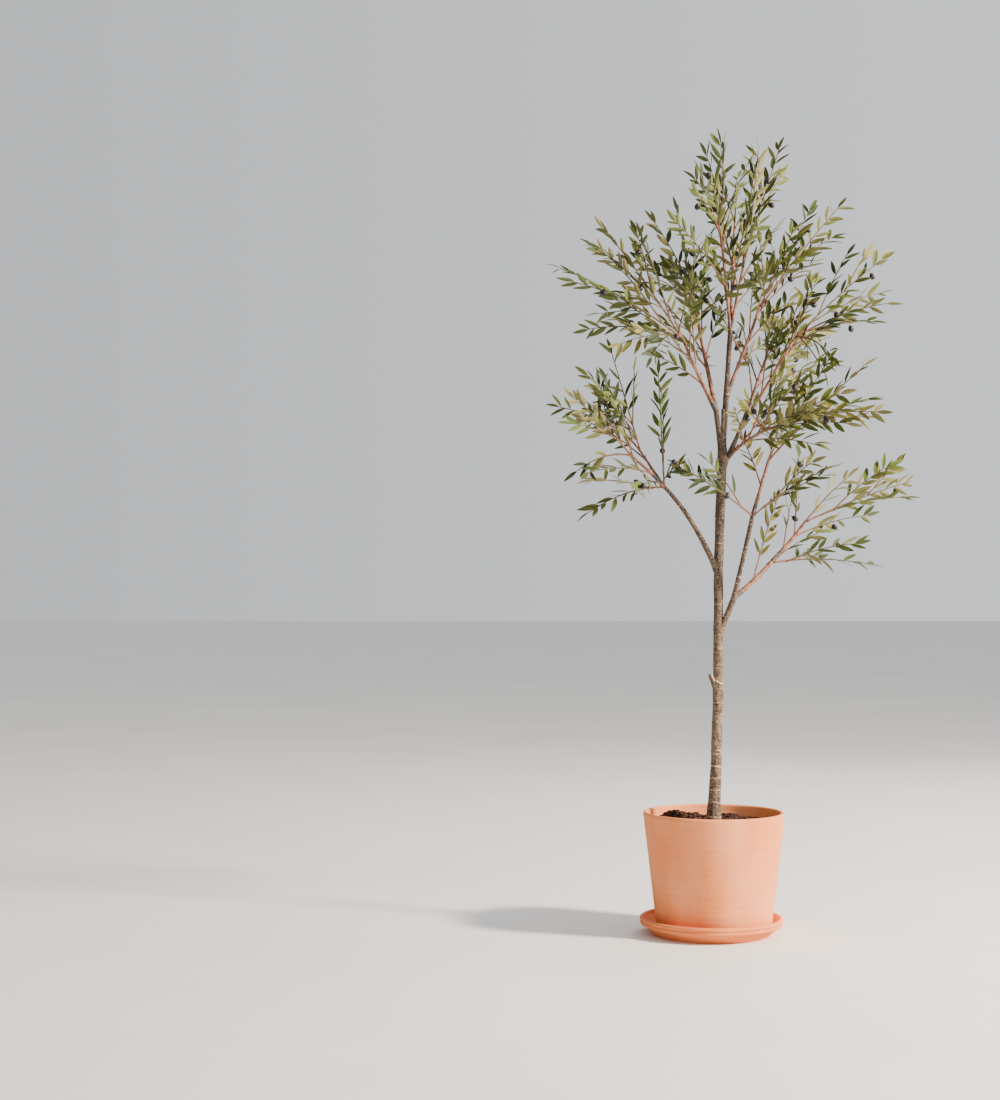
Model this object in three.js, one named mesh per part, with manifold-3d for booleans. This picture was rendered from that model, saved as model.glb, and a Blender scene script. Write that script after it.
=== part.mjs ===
// Artificial olive tree, 1.8 m tall, in a terracotta pot that stands in its saucer.
// Millimetres, +Z up. X runs across the front view, Y runs away from it.
// The origin is on the flat underside of the saucer, below the axis of the pot.
import * as THREE from 'three';
import { mergeVertices } from 'three/addons/utils/BufferGeometryUtils.js';
import Module from 'manifold-3d';

const wasm = await Module();
wasm.setup();

// Clearance between pieces that rest on each other or grow from each other
const GAP = 0.3;
// Edges shorter than this, left where pieces are joined or cut, are merged
const SLIVER = 0.02;
const UP = new THREE.Vector3(0, 0, 1);
const AWAY = new THREE.Vector3(0, 1, 0);

// Saucer: a flared dish whose lip has two beads. The pot stands a little to its right.
const SAUCER = {
  height: 38, footRadius: 131, floor: 12, floorRadius: 134.5, neckRadius: 148, neckHeight: 20,
  beadRadius: 155.5, beadHeight: 23, grooveRadius: 157.5, grooveHeight: 28,
  lipRadius: 158.5, innerRadius: 150, footEdge: 2, aside: -6,
};

// Pot: a plain straight taper with a rounded lip
const POT = { height: 258, baseRadius: 127, rimRadius: 156.5, wall: 10, floor: 14, footEdge: 3 };
const TURNED_SIDES = 28;
const LIP_STEPS = 4;

// Soil, level round the trunk, with low heaps further out
const SOIL = { belowRim: 24, rings: 4, levelRadius: 30, heapRadius: 60 };
const HEAPS = [
  { x: -82, y: 62, height: 20, spread: 26 },
  { x: 42, y: 66, height: 11, spread: 24 },
  { x: -20, y: -80, height: 7, spread: 40 },
];

const POT_BASE = SAUCER.floor + GAP;
const POT_RIM = POT_BASE + POT.height;
const SOIL_LEVEL = POT_RIM - SOIL.belowRim;
const TRUNK_FOOT = SOIL_LEVEL + GAP;

// Trunk: leans to the right, sways a little, and has a slight flare at the foot.
// Its steps are closer together near the foot.
const TRUNK = {
  top: 1080, lean: 22, sway: 2.5, footRadius: 15.2, flare: 3.2, flareHeight: 30,
  waistRadius: 10.2, waistAt: 0.5, topRadius: 10.8, sides: 10, steps: 14, crowding: 1.2, sunk: 10,
};
const TRUNK_RISE = TRUNK.top - TRUNK_FOOT;
// A pruned knob on the left of the trunk: its height, and how far it stands out
const KNOB = { height: 566, left: 19, front: 6, rise: 12, rootRadius: 7, tipRadius: 4.6 };

// Limbs. Each leaves a parent at a fraction of its length (1 is the tip) and reaches
// [across, away, up] from there. bow lifts its middle, radius goes from its root to its tip.
// Name, parent, fraction, reach, bow, radius and skin.
const BARK = 'bark';
const STEM = 'stem';
const limb = (name, on, at, reach, bow, radius, skin) => ({ name, on, at, reach, bow, radius, skin });
const LIMBS = [
  limb('bough_leader', 'trunk', 0.985, [19, 5, 276], 0, [7.2, 5.2], BARK),
  limb('bough_left_fork', 'trunk', 0.975, [-14, -5, 104], 0, [7, 6], BARK),
  limb('stub_fork', 'trunk', 0.99, [1, -6, 96], 0, [4.4, 4], BARK),
  limb('bough_left_upper', 'bough_left_fork', 1, [-82, -55, 160], -4, [5, 3], STEM),
  limb('bough_left_inner', 'bough_left_fork', 1, [-35, 75, 222], 0, [5.6, 3.2], STEM),
  limb('bough_leader_side', 'bough_leader', 0.47, [85, 56, 211], -4, [4.6, 2.8], STEM),
  limb('stem_top_left', 'bough_leader', 1, [-23, -35, 203], 0, [3.6, 2.6], STEM),
  limb('stem_top_back', 'bough_leader', 1, [12, 30, 212], 0, [3.8, 2.6], STEM),
  limb('stem_top_right', 'bough_leader', 1, [32, -12, 166], 0, [3.4, 2.6], STEM),
  limb('bough_right_fork', 'trunk', 0.945, [52, 30, 107], -3, [6.4, 4.8], BARK),
  limb('stem_right_back', 'bough_right_fork', 1, [64, 80, 157], 0, [4.4, 2.8], STEM),
  limb('stem_right_middle', 'bough_right_fork', 1, [123, 30, 198], -6, [4.4, 2.8], STEM),
  limb('stem_right_front', 'bough_right_fork', 0.3, [66, -100, 48], 4, [4.4, 2.8], STEM),
  limb('bough_left_low', 'trunk', 0.662, [-128, -60, 194], 20, [6.2, 4], BARK),
  limb('stem_left_low_long', 'bough_left_low', 1, [-77, -30, 68], 3, [3.6, 2.8], STEM),
  limb('stem_left_low_short', 'bough_left_low', 1, [-50, 40, 84], 0, [3.4, 2.6], STEM),
  limb('bough_right_low', 'trunk', 0.5, [34, -10, 83], -3, [7.4, 6.2], BARK),
  limb('bough_right_rise', 'bough_right_low', 1, [36, -50, 183], -3, [5.6, 4.4], BARK),
  limb('stem_right_rise', 'bough_right_rise', 1, [39, 20, 125], 0, [4.2, 3], STEM),
  limb('bough_right_out', 'bough_right_low', 1, [92, 50, 81], -4, [5.6, 4.8], STEM),
  limb('stem_right_out', 'bough_right_out', 1, [82, 30, 93], -3, [4.6, 2.8], STEM),
];
const LIMB_SIDES = 6;
const LIMB_STEP = 80;

// Masses of foliage. Each grows from the tip of a limb: its stem reaches [across, away, up] to
// the mass's furthest tip and side twigs branch from it. fan is the angle between one spray and
// the next, and roll turns the fan away from facing the front.
// Name, limb, reach, bow, sprays, fan and roll.
const mass = (name, on, reach, bow, sprays, fan, roll) => ({ name, on, reach, bow, sprays, fan, roll });
const MASSES = [
  mass('leaves_left_low_rise', 'bough_left_low', [-11, 20, 288], 0, 2, 32, 80),
  mass('leaves_left_low_drift', 'bough_left_low', [-200, -90, -72], 14, 2, 30, 60),
  mass('leaves_left_low_front', 'bough_left_low', [-85, -270, -28], 16, 2, 34, 20),
  mass('leaves_left_low_crown', 'stem_left_low_long', [-149, -70, 142], 6, 4, 24, 25),
  mass('leaves_left_low_wing', 'stem_left_low_long', [-152, -30, -50], 14, 1, 26, 40),
  mass('leaves_left_mid_rise', 'stem_left_low_short', [-72, -5, 252], 0, 3, -20, 10),
  mass('leaves_left_back', 'stem_left_low_short', [-110, 270, 136], 10, 3, 30, 60),
  mass('leaves_upper_left_wing', 'bough_left_upper', [-300, -30, 165], 12, 3, 15, 20),
  mass('leaves_upper_left_low', 'bough_left_upper', [-239, 100, 32], 14, 2, 22, 40),
  mass('leaves_upper_left_front', 'bough_left_upper', [-100, -300, -90], 22, 3, 32, 30),
  mass('leaves_upper_left_rise', 'bough_left_upper', [-194, 0, 270], 8, 4, 15, 10),
  mass('leaves_inner_left_rise', 'bough_left_inner', [-47, 50, 290], 0, 4, 18, 35),
  mass('leaves_inner_left_back', 'bough_left_inner', [-60, 280, 180], 12, 3, 30, 50),
  mass('leaves_cross_front', 'bough_left_inner', [129, -230, 70], 6, 2, 26, 60),
  mass('leaves_top_left', 'stem_top_left', [-65, -50, 168], 0, 3, 26, 30),
  mass('leaves_top', 'stem_top_left', [11, 30, 262], 0, 3, 20, 25),
  mass('leaves_top_back', 'stem_top_back', [26, 120, 195], 6, 3, 28, 40),
  mass('leaves_top_right', 'stem_top_right', [99, 70, 294], 0, 3, -16, 30),
  mass('leaves_right_top_rise', 'bough_leader_side', [78, -60, 189], 0, 3, -24, 20),
  mass('leaves_right_top_wing', 'bough_leader_side', [210, 50, 264], 6, 3, 9, 10),
  mass('leaves_right_wing', 'stem_right_middle', [234, 40, 208], 6, 3, 18, 20),
  mass('leaves_right_reach', 'stem_right_middle', [239, -30, 84], 12, 2, 14, 20),
  mass('leaves_right_mid_front', 'stem_right_middle', [76, -170, -80], 14, 3, 30, 30),
  mass('leaves_right_back_rise', 'stem_right_back', [40, 190, 160], 6, 3, 30, 60),
  mass('leaves_right_back_wing', 'stem_right_back', [150, 240, 30], 14, 3, 28, 60),
  mass('leaves_right_front_rise', 'stem_right_front', [20, -170, 120], 4, 2, 34, 50),
  mass('leaves_right_front_low', 'stem_right_front', [272, -70, 42], 14, 3, -20, 30),
  mass('leaves_right_front_left', 'stem_right_front', [-71, -110, 55], 6, 2, 30, 40),
  mass('leaves_right_low_crown', 'stem_right_rise', [230, -50, 227], 6, 3, -18, 30),
  mass('leaves_cross_left', 'bough_right_rise', [-202, -140, 114], 6, 2, 14, 10),
  mass('leaves_right_low_wing', 'bough_right_rise', [192, -60, 119], 10, 3, 14, 25),
  mass('leaves_right_low_reach', 'stem_right_out', [282, 40, 105], 6, 3, 12, 10),
  mass('leaves_right_low_skirt', 'bough_right_out', [261, 20, -7], 10, 2, -12, 10),
];

// Twigs: three-sided, thinning to the tip. The first side twig leaves at a fraction of its
// lead, and each next one a little further along. Lengths are a share of the lead beyond it.
// The lead's root is set aside from its limb's axis by a share of the limb's radius.
const TWIG = {
  sides: 3, rootRadius: 2.5, tipRadius: 1.2, sideRadius: 2, step: 110, first: 0.14, next: 0.12,
  lengthLeast: 0.7, lengthMost: 0.95, fanJitter: 6, rollJitter: 35, lift: 0.05,
  rootAside: 0.5, rootSunk: 1,
};
// Leaves: pairs along each spray and one at its tip. Angles are in degrees, spacing and sizes
// in millimetres, places and droop in fractions.
const LEAF = {
  spacing: 96, length: 74, tipLength: 48, width: 15, thickness: 1.3, widest: 0.42,
  bareLead: 0.34, bareSide: 0.2, pairOffset: 0.02, lastAt: 0.99, spread: 34, spreadJitter: 8,
  rollJitter: 32, twist: 45, twistJitter: 25, droop: 0.06, clear: 8, rootSunk: 0.45, checks: 8,
};
const LAST_LEAF = 0.8 * LEAF.tipLength;
const OLIVE = { length: 16, radius: 5.8, share: 0.36, furthest: 0.8, sides: 5, sunk: 0.8, shoulder: 0.4 };
// Chance: the seed of the first mass, and what is added to a mass's seed for its leaves
const FIRST_SEED = 11;
const LEAF_SEEDS = 1000;
const ANY_WAY = 180;
// Fraction of a limb from which on its heading at the tip is taken
const NEAR_TIP = 0.9;
// A heading's part along AWAY above which UP is used in its place
const NEARLY_AWAY = 0.9;

// Colour and roughness of each finish
const FINISHES = {
  terracotta: [0xd9a184, 0.9],
  saucer: [0xcf8a66, 0.85],
  soil: [0x2e241d, 1],
  bark: [0x6f625a, 0.85],
  stem: [0xa9683f, 0.85],
  leaf: [0x6d7345, 0.7],
};

// Small helpers
const vec = (x, y, z) => new THREE.Vector3(x, y, z);
const radians = THREE.MathUtils.degToRad;

// Repeatable chance: numbers from 0 to 1 that depend only on the seed
function seeded(seed) {
  let state = seed >>> 0;
  return () => {
    state = (state + 0x6d2b79f5) >>> 0;
    let t = state;
    t = Math.imul(t ^ (t >>> 15), t | 1);
    t ^= t + Math.imul(t ^ (t >>> 7), t | 61);
    return ((t ^ (t >>> 14)) >>> 0) / 4294967296;
  };
}

// A number within plus or minus reach
const jitter = (random, reach) => (2 * random() - 1) * reach;

// A unit vector square to a heading, as near to AWAY as it can be, or to UP where that fails
function squareTo(heading) {
  const guide = Math.abs(heading.y) < NEARLY_AWAY ? AWAY : UP;
  return guide.clone().addScaledVector(heading, -guide.dot(heading)).normalize();
}

function solidOf(geometry) {
  const plain = geometry.clone();
  plain.deleteAttribute('normal');
  plain.deleteAttribute('uv');
  const merged = mergeVertices(plain, 1e-4);
  return new wasm.Manifold(new wasm.Mesh({
    numProp: 3,
    vertProperties: new Float32Array(merged.attributes.position.array),
    triVerts: new Uint32Array(merged.index.array),
  }));
}

function geometryOf(solid) {
  const mesh = solid.getMesh();
  const geometry = new THREE.BufferGeometry();
  geometry.setAttribute('position', new THREE.BufferAttribute(new Float32Array(mesh.vertProperties), 3));
  geometry.setIndex(new THREE.BufferAttribute(new Uint32Array(mesh.triVerts), 1));
  geometry.computeVertexNormals();
  return geometry;
}

// The biggest body of a solid, without loose scraps, sealed hollows and slivers left by cuts
function mainBody(solid) {
  const bodies = solid.simplify(SLIVER).decompose();
  return bodies.reduce((best, body) => (body.volume() > best.volume() ? body : best));
}

// A solid turned from a half outline of [radius, height] pairs that starts and ends on the axis
function turned(outline, sides) {
  const lathe = new THREE.LatheGeometry(outline.map(([r, h]) => new THREE.Vector2(r, h)), sides);
  return lathe.rotateX(Math.PI / 2);
}

// Points of a round lip over a wall, from its outer side to its inner side
function roundLip(outer, inner, top) {
  const middle = (outer + inner) / 2;
  const half = (outer - inner) / 2;
  return Array.from({ length: LIP_STEPS + 1 }, (_, i) => {
    const angle = (Math.PI * i) / LIP_STEPS;
    return [middle + half * Math.cos(angle), top - half + half * Math.sin(angle)];
  });
}

function saucerGeometry() {
  const s = SAUCER;
  return turned([
    [0, 0], [s.footRadius - s.footEdge, 0], [s.footRadius, s.footEdge], [s.neckRadius, s.neckHeight],
    [s.beadRadius, s.beadHeight], [s.grooveRadius, s.grooveHeight],
    ...roundLip(s.lipRadius, s.innerRadius, s.height),
    [s.floorRadius, s.floor], [0, s.floor],
  ], TURNED_SIDES).translate(s.aside, 0, 0);
}

// Radius of the pot's outer wall at a height above its base
const potRadius = (height) => THREE.MathUtils.lerp(POT.baseRadius, POT.rimRadius, height / POT.height);

function potGeometry() {
  return turned([
    [0, 0], [POT.baseRadius - POT.footEdge, 0], [potRadius(POT.footEdge), POT.footEdge],
    ...roundLip(POT.rimRadius, POT.rimRadius - POT.wall, POT.height),
    [potRadius(POT.floor) - POT.wall, POT.floor], [0, POT.floor],
  ], TURNED_SIDES).translate(0, 0, POT_BASE);
}

// Height of the soil's surface: level round the trunk, with the heaps further out
function soilHeight(x, y) {
  const away = THREE.MathUtils.smoothstep(Math.hypot(x, y), SOIL.levelRadius, SOIL.heapRadius);
  const heap = HEAPS.reduce((sum, h) => {
    const distance = Math.hypot(x - h.x, y - h.y) / h.spread;
    return sum + h.height * Math.exp(-distance * distance);
  }, 0);
  return SOIL_LEVEL + away * heap;
}

// Soil: a plug that fills the pot, with rings of points over its surface. Its corners lie at
// the same angles as the pot's.
function soilGeometry() {
  const bottom = POT_BASE + POT.floor + GAP;
  const inside = (z) => potRadius(z - POT_BASE) - POT.wall - GAP;
  const rimRadius = inside(SOIL_LEVEL);
  const positions = [0, 0, SOIL_LEVEL];
  for (let ring = 1; ring <= SOIL.rings + 1; ring += 1) {
    const onSurface = ring <= SOIL.rings;
    const radius = onSurface ? (rimRadius * ring) / SOIL.rings : inside(bottom);
    for (let k = 0; k < TURNED_SIDES; k += 1) {
      const angle = (2 * Math.PI * k) / TURNED_SIDES;
      const x = radius * Math.cos(angle);
      const y = radius * Math.sin(angle);
      const edge = ring === SOIL.rings ? SOIL_LEVEL : soilHeight(x, y);
      positions.push(x, y, onSurface ? edge : bottom);
    }
  }
  positions.push(0, 0, bottom);
  const last = positions.length / 3 - 1;
  const at = (ring, k) => 1 + (ring - 1) * TURNED_SIDES + (k % TURNED_SIDES);
  const index = [];
  for (let k = 0; k < TURNED_SIDES; k += 1) {
    index.push(0, at(1, k), at(1, k + 1));
    for (let ring = 1; ring <= SOIL.rings; ring += 1) {
      index.push(at(ring, k), at(ring + 1, k), at(ring + 1, k + 1));
      index.push(at(ring, k), at(ring + 1, k + 1), at(ring, k + 1));
    }
    index.push(last, at(SOIL.rings + 1, k + 1), at(SOIL.rings + 1, k));
  }
  return indexed(positions, index);
}

function indexed(positions, index) {
  const geometry = new THREE.BufferGeometry();
  geometry.setAttribute('position', new THREE.Float32BufferAttribute(positions, 3));
  geometry.setIndex(index);
  return geometry;
}

// A tapering limb through points, with a radius at each, closed by flat ends
function tube(points, radii, sides) {
  const positions = [];
  const index = [];
  const last = points.length - 1;
  let across = null;
  points.forEach((point, i) => {
    const along = points[Math.min(i + 1, last)].clone().sub(points[Math.max(i - 1, 0)]).normalize();
    const guide = across ?? squareTo(along);
    across = guide.clone().addScaledVector(along, -guide.dot(along)).normalize();
    const beside = along.clone().cross(across);
    for (let k = 0; k < sides; k += 1) {
      const angle = (2 * Math.PI * k) / sides;
      const corner = point.clone()
        .addScaledVector(across, radii[i] * Math.cos(angle))
        .addScaledVector(beside, radii[i] * Math.sin(angle));
      positions.push(corner.x, corner.y, corner.z);
    }
  });
  positions.push(...points[0].toArray(), ...points[last].toArray());
  const foot = points.length * sides;
  for (let k = 0; k < sides; k += 1) {
    const next = (k + 1) % sides;
    for (let i = 0; i < last; i += 1) {
      const low = i * sides;
      const high = low + sides;
      index.push(low + k, low + next, high + next, low + k, high + next, high + k);
    }
    index.push(foot, next, k, foot + 1, last * sides + k, last * sides + next);
  }
  return indexed(positions, index);
}

// A curve from start to start + reach whose middle is lifted by bow
function bowedCurve(start, reach, bow) {
  const end = start.clone().add(reach);
  const control = start.clone().lerp(end, 0.5).addScaledVector(UP, 2 * bow);
  return new THREE.QuadraticBezierCurve3(start, control, end);
}

// A stem: points along a curve, and a radius at each
function stem(curve, rootRadius, tipRadius, stepLength) {
  const steps = Math.max(2, Math.round(curve.getLength() / stepLength));
  const points = curve.getPoints(steps);
  const radii = points.map((_, i) => THREE.MathUtils.lerp(rootRadius, tipRadius, i / steps));
  return { curve, points, radii };
}

// Centre, radius and heading at a fraction of a stem, on its own straight lengths
function alongStem({ points, radii }, t) {
  const steps = points.length - 1;
  const piece = Math.min(Math.floor(t * steps), steps - 1);
  const within = t * steps - piece;
  return {
    centre: points[piece].clone().lerp(points[piece + 1], within),
    radius: THREE.MathUtils.lerp(radii[piece], radii[piece + 1], within),
    heading: points[piece + 1].clone().sub(points[piece]).normalize(),
  };
}

// A stem's solid, a clearance thicker all round and longer at its tip
function grown({ points, radii }, sides) {
  const last = points.length - 1;
  const stretched = points.map((point) => point.clone());
  const outwards = points[last].clone().sub(points[last - 1]).normalize();
  stretched[last].addScaledVector(outwards, GAP);
  const cornerToFlat = 1 / Math.cos(Math.PI / sides);
  return solidOf(tube(stretched, radii.map((radius) => radius + GAP * cornerToFlat), sides));
}

// Trunk: centre and radius at a fraction of its height
function trunkCentre(t) {
  const sway = TRUNK.sway * Math.sin(2 * Math.PI * t);
  return vec(TRUNK.lean * t + sway, -sway / 2, THREE.MathUtils.lerp(TRUNK_FOOT, TRUNK.top, t));
}

function trunkRadius(t) {
  const above = Math.max(t, 0);
  const flare = TRUNK.flare * Math.exp((-above * TRUNK_RISE) / TRUNK.flareHeight);
  const taper = t < TRUNK.waistAt
    ? THREE.MathUtils.lerp(TRUNK.footRadius, TRUNK.waistRadius, Math.sqrt(above / TRUNK.waistAt))
    : THREE.MathUtils.lerp(TRUNK.waistRadius, TRUNK.topRadius, (t - TRUNK.waistAt) / (1 - TRUNK.waistAt));
  return taper + flare;
}

function trunkStem() {
  const fractions = Array.from({ length: TRUNK.steps + 1 }, (_, i) => (i / TRUNK.steps) ** TRUNK.crowding);
  fractions[0] = -TRUNK.sunk / TRUNK_RISE;
  return { points: fractions.map(trunkCentre), radii: fractions.map(trunkRadius), place: trunkCentre };
}

// The trunk with its knob, cut level where it stands on the soil
function trunkSolid(trunk) {
  const root = trunkCentre((KNOB.height - TRUNK_FOOT) / TRUNK_RISE);
  const tip = root.clone().add(vec(-KNOB.left, -KNOB.front, KNOB.rise));
  const knob = tube([root, tip], [KNOB.rootRadius, KNOB.tipRadius], LIMB_SIDES);
  const body = tube(trunk.points, trunk.radii, TRUNK.sides);
  const wide = 4 * (TRUNK.footRadius + TRUNK.flare);
  const deep = 2 * TRUNK.sunk;
  const belowFoot = new THREE.BoxGeometry(wide, wide, deep).translate(0, 0, TRUNK_FOOT - deep / 2);
  return mainBody(solidOf(body).add(solidOf(knob)).subtract(solidOf(belowFoot)));
}

// Limbs, each cut clear of its parent and of the limbs made before it
function growLimbs() {
  const trunk = trunkStem();
  const made = new Map([['trunk', { ...trunk, solid: trunkSolid(trunk), skin: BARK, sides: TRUNK.sides }]]);
  LIMBS.forEach(({ name, on, at, reach, bow, radius, skin }) => {
    const curve = bowedCurve(made.get(on).place(at), vec(...reach), bow);
    const shape = stem(curve, radius[0], radius[1], LIMB_STEP);
    const whole = solidOf(tube(shape.points, shape.radii, LIMB_SIDES));
    const cutters = [...made.values()].map((other) => grown(other, other.sides));
    const solid = mainBody(cutters.reduce((left, cutter) => left.subtract(cutter), whole));
    made.set(name, { ...shape, solid, skin, sides: LIMB_SIDES, place: (t) => curve.getPoint(t) });
  });
  return made;
}

// Distance from a point to a stem's surface
function distanceTo(point, shape) {
  const segment = new THREE.Line3();
  const nearest = vec(0, 0, 0);
  let best = Infinity;
  for (let i = 1; i < shape.points.length; i += 1) {
    segment.set(shape.points[i - 1], shape.points[i]).closestPointToPoint(point, true, nearest);
    best = Math.min(best, nearest.distanceTo(point) - shape.radii[i - 1]);
  }
  return best;
}

const isClear = (points, shapes, room) => points.every((p) => shapes.every((s) => distanceTo(p, s) > room));

// The lead stem of a mass starts at its limb's tip, set towards the side that it grows to
function leadStem({ on, reach, bow }, limbs) {
  const parent = limbs.get(on);
  const way = vec(...reach);
  const tip = parent.place(1);
  const heading = tip.clone().sub(parent.place(NEAR_TIP)).normalize();
  const aside = way.clone().addScaledVector(heading, -way.dot(heading)).normalize();
  const root = tip.clone()
    .addScaledVector(aside, parent.radii.at(-1) * TWIG.rootAside)
    .addScaledVector(heading, -TWIG.rootSunk);
  const end = way.clone().setLength(way.length() - LAST_LEAF).add(tip);
  const curve = bowedCurve(root, end.sub(root), bow);
  return { ...stem(curve, TWIG.rootRadius, TWIG.tipRadius, TWIG.step), bare: LEAF.bareLead };
}

// Side twigs branch left and right of the lead by the seeded rule
function sideTwigs({ sprays, fan, roll, seed }, lead, neighbours) {
  const random = seeded(seed);
  const twigs = [];
  for (let k = 1; k < sprays; k += 1) {
    const along = TWIG.first + TWIG.next * (k - 1);
    const { centre, heading } = alongStem(lead, along);
    const lean = radians(roll + jitter(random, TWIG.rollJitter));
    const side = k % 2 === 1 ? 1 : -1;
    const turn = radians(side * fan * Math.ceil(k / 2) + jitter(random, TWIG.fanJitter));
    const share = THREE.MathUtils.lerp(TWIG.lengthLeast, TWIG.lengthMost, random());
    const hinge = squareTo(heading).applyAxisAngle(heading, lean);
    const length = lead.curve.getLength() * (1 - along) * share;
    const reach = heading.clone().applyAxisAngle(hinge, turn).multiplyScalar(length);
    const curve = bowedCurve(centre, reach, length * TWIG.lift);
    const twig = { ...stem(curve, TWIG.sideRadius, TWIG.tipRadius, TWIG.step), bare: LEAF.bareSide };
    if (isClear(twig.points.slice(1), neighbours, LEAF.clear)) twigs.push(twig);
  }
  return twigs;
}

// A leaf: a slim lance of eight faces whose root point lies inside its twig
function leafGeometry(leaf) {
  const { root, direction, normal, length, width } = leaf;
  const beside = direction.clone().cross(normal);
  const middle = root.clone().addScaledVector(direction, length * LEAF.widest);
  const points = [
    root,
    root.clone().addScaledVector(direction, length).addScaledVector(normal, -length * LEAF.droop),
    middle.clone().addScaledVector(beside, width / 2),
    middle.clone().addScaledVector(normal, LEAF.thickness / 2),
    middle.clone().addScaledVector(beside, -width / 2),
    middle.clone().addScaledVector(normal, -LEAF.thickness / 2),
  ];
  const index = [];
  for (let k = 0; k < 4; k += 1) {
    const here = 2 + k;
    const next = 2 + ((k + 1) % 4);
    index.push(0, here, next, 1, next, here);
  }
  return indexed(points.flatMap((p) => p.toArray()), index);
}

// Points spread from a leaf's root to its tip, for keeping it clear of the other masses
const leafPoints = ({ root, direction, normal, length }) => Array.from({ length: LEAF.checks }, (_, i) => {
  const share = (i + 1) / LEAF.checks;
  return root.clone()
    .addScaledVector(direction, length * share)
    .addScaledVector(normal, -length * LEAF.droop * share);
});

// Leaves of one spray: pairs that share a seeded twist, and a last leaf that points on
function sprayLeaves(twig, random) {
  const flat = jitter(random, ANY_WAY);
  const twist = jitter(random, LEAF.twist);
  const leafy = 1 - twig.bare;
  const pairs = Math.max(2, Math.round((twig.curve.getLength() * leafy) / LEAF.spacing));
  const leaves = [];
  const addLeaf = (t, spread, length) => {
    const { centre, radius, heading } = alongStem(twig, t);
    const roll = radians(flat + jitter(random, LEAF.rollJitter));
    const plane = squareTo(heading).applyAxisAngle(heading, roll);
    const direction = heading.clone().applyAxisAngle(plane, radians(spread));
    const turn = radians(twist + jitter(random, LEAF.twistJitter));
    const normal = plane.clone().applyAxisAngle(direction, turn);
    const root = centre.addScaledVector(direction, -radius * LEAF.rootSunk);
    leaves.push({ root, direction, normal, length, width: LEAF.width * Math.sqrt(length / LEAF.length) });
  };
  for (let i = 0; i < pairs; i += 1) {
    const t = twig.bare + (leafy * (i + 0.5)) / pairs;
    const length = THREE.MathUtils.lerp(LEAF.length, LEAF.tipLength, (i / pairs) ** 2);
    addLeaf(t, LEAF.spread + jitter(random, LEAF.spreadJitter), length);
    addLeaf(t + LEAF.pairOffset, -LEAF.spread - jitter(random, LEAF.spreadJitter), length);
  }
  addLeaf(LEAF.lastAt, jitter(random, LEAF.spreadJitter), LAST_LEAF);
  return leaves;
}

// An olive lies against its twig
function oliveOn(twig, random) {
  const t = THREE.MathUtils.lerp(twig.bare, OLIVE.furthest, random());
  const { centre, radius, heading } = alongStem(twig, t);
  const outwards = squareTo(heading).applyAxisAngle(heading, 2 * Math.PI * random());
  return { centre: centre.addScaledVector(outwards, OLIVE.radius + radius / 2 - OLIVE.sunk), heading };
}

function oliveGeometry({ centre, heading }) {
  const half = OLIVE.length / 2;
  const shoulder = half * OLIVE.shoulder;
  const outline = [[0, -half], [OLIVE.radius, -shoulder], [OLIVE.radius, shoulder], [0, half]];
  return turned(outline, OLIVE.sides)
    .applyQuaternion(new THREE.Quaternion().setFromUnitVectors(UP, heading))
    .translate(centre.x, centre.y, centre.z);
}

// All masses: leads first, so that every side twig, leaf and olive keeps out of the others' space
function growMasses(limbs) {
  const masses = MASSES.map((row, i) => ({ ...row, seed: FIRST_SEED + i, twigs: [leadStem(row, limbs)] }));
  const neighboursOf = (mine) => [
    ...limbs.values(), ...masses.filter((other) => other !== mine).flatMap((other) => other.twigs),
  ];
  masses.forEach((mine) => {
    mine.twigs.push(...sideTwigs(mine, mine.twigs[0], neighboursOf(mine)));
  });
  const taken = [];
  const isFree = (points) => taken.every((other) => (
    points.every((p) => other.every((q) => p.distanceTo(q) > LEAF.clear))));
  masses.forEach((mine) => {
    const random = seeded(mine.seed + LEAF_SEEDS);
    const neighbours = neighboursOf(mine);
    mine.olives = mine.twigs.filter(() => random() < OLIVE.share)
      .map((twig) => oliveOn(twig, random))
      .filter(({ centre }) => isClear([centre], neighbours, OLIVE.length));
    mine.leaves = mine.twigs.flatMap((twig) => sprayLeaves(twig, random)).filter((leaf) => {
      const points = leafPoints(leaf);
      return isFree(points) && isClear(points, neighbours, LEAF.clear);
    });
    taken.push(...mine.leaves.map(leafPoints), ...mine.olives.map(({ centre }) => [centre]));
  });
  return masses;
}

// One solid for a mass, cut clear of the limbs and of the stems that leave the same tip
function massSolid({ twigs, leaves, olives }, cutters) {
  const parts = [
    ...twigs.map((twig) => tube(twig.points, twig.radii, TWIG.sides)),
    ...leaves.map(leafGeometry),
    ...olives.map(oliveGeometry),
  ];
  const joined = parts.map(solidOf).reduce((sum, part) => sum.add(part));
  return mainBody(cutters.reduce((left, cutter) => left.subtract(cutter), joined));
}

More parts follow.
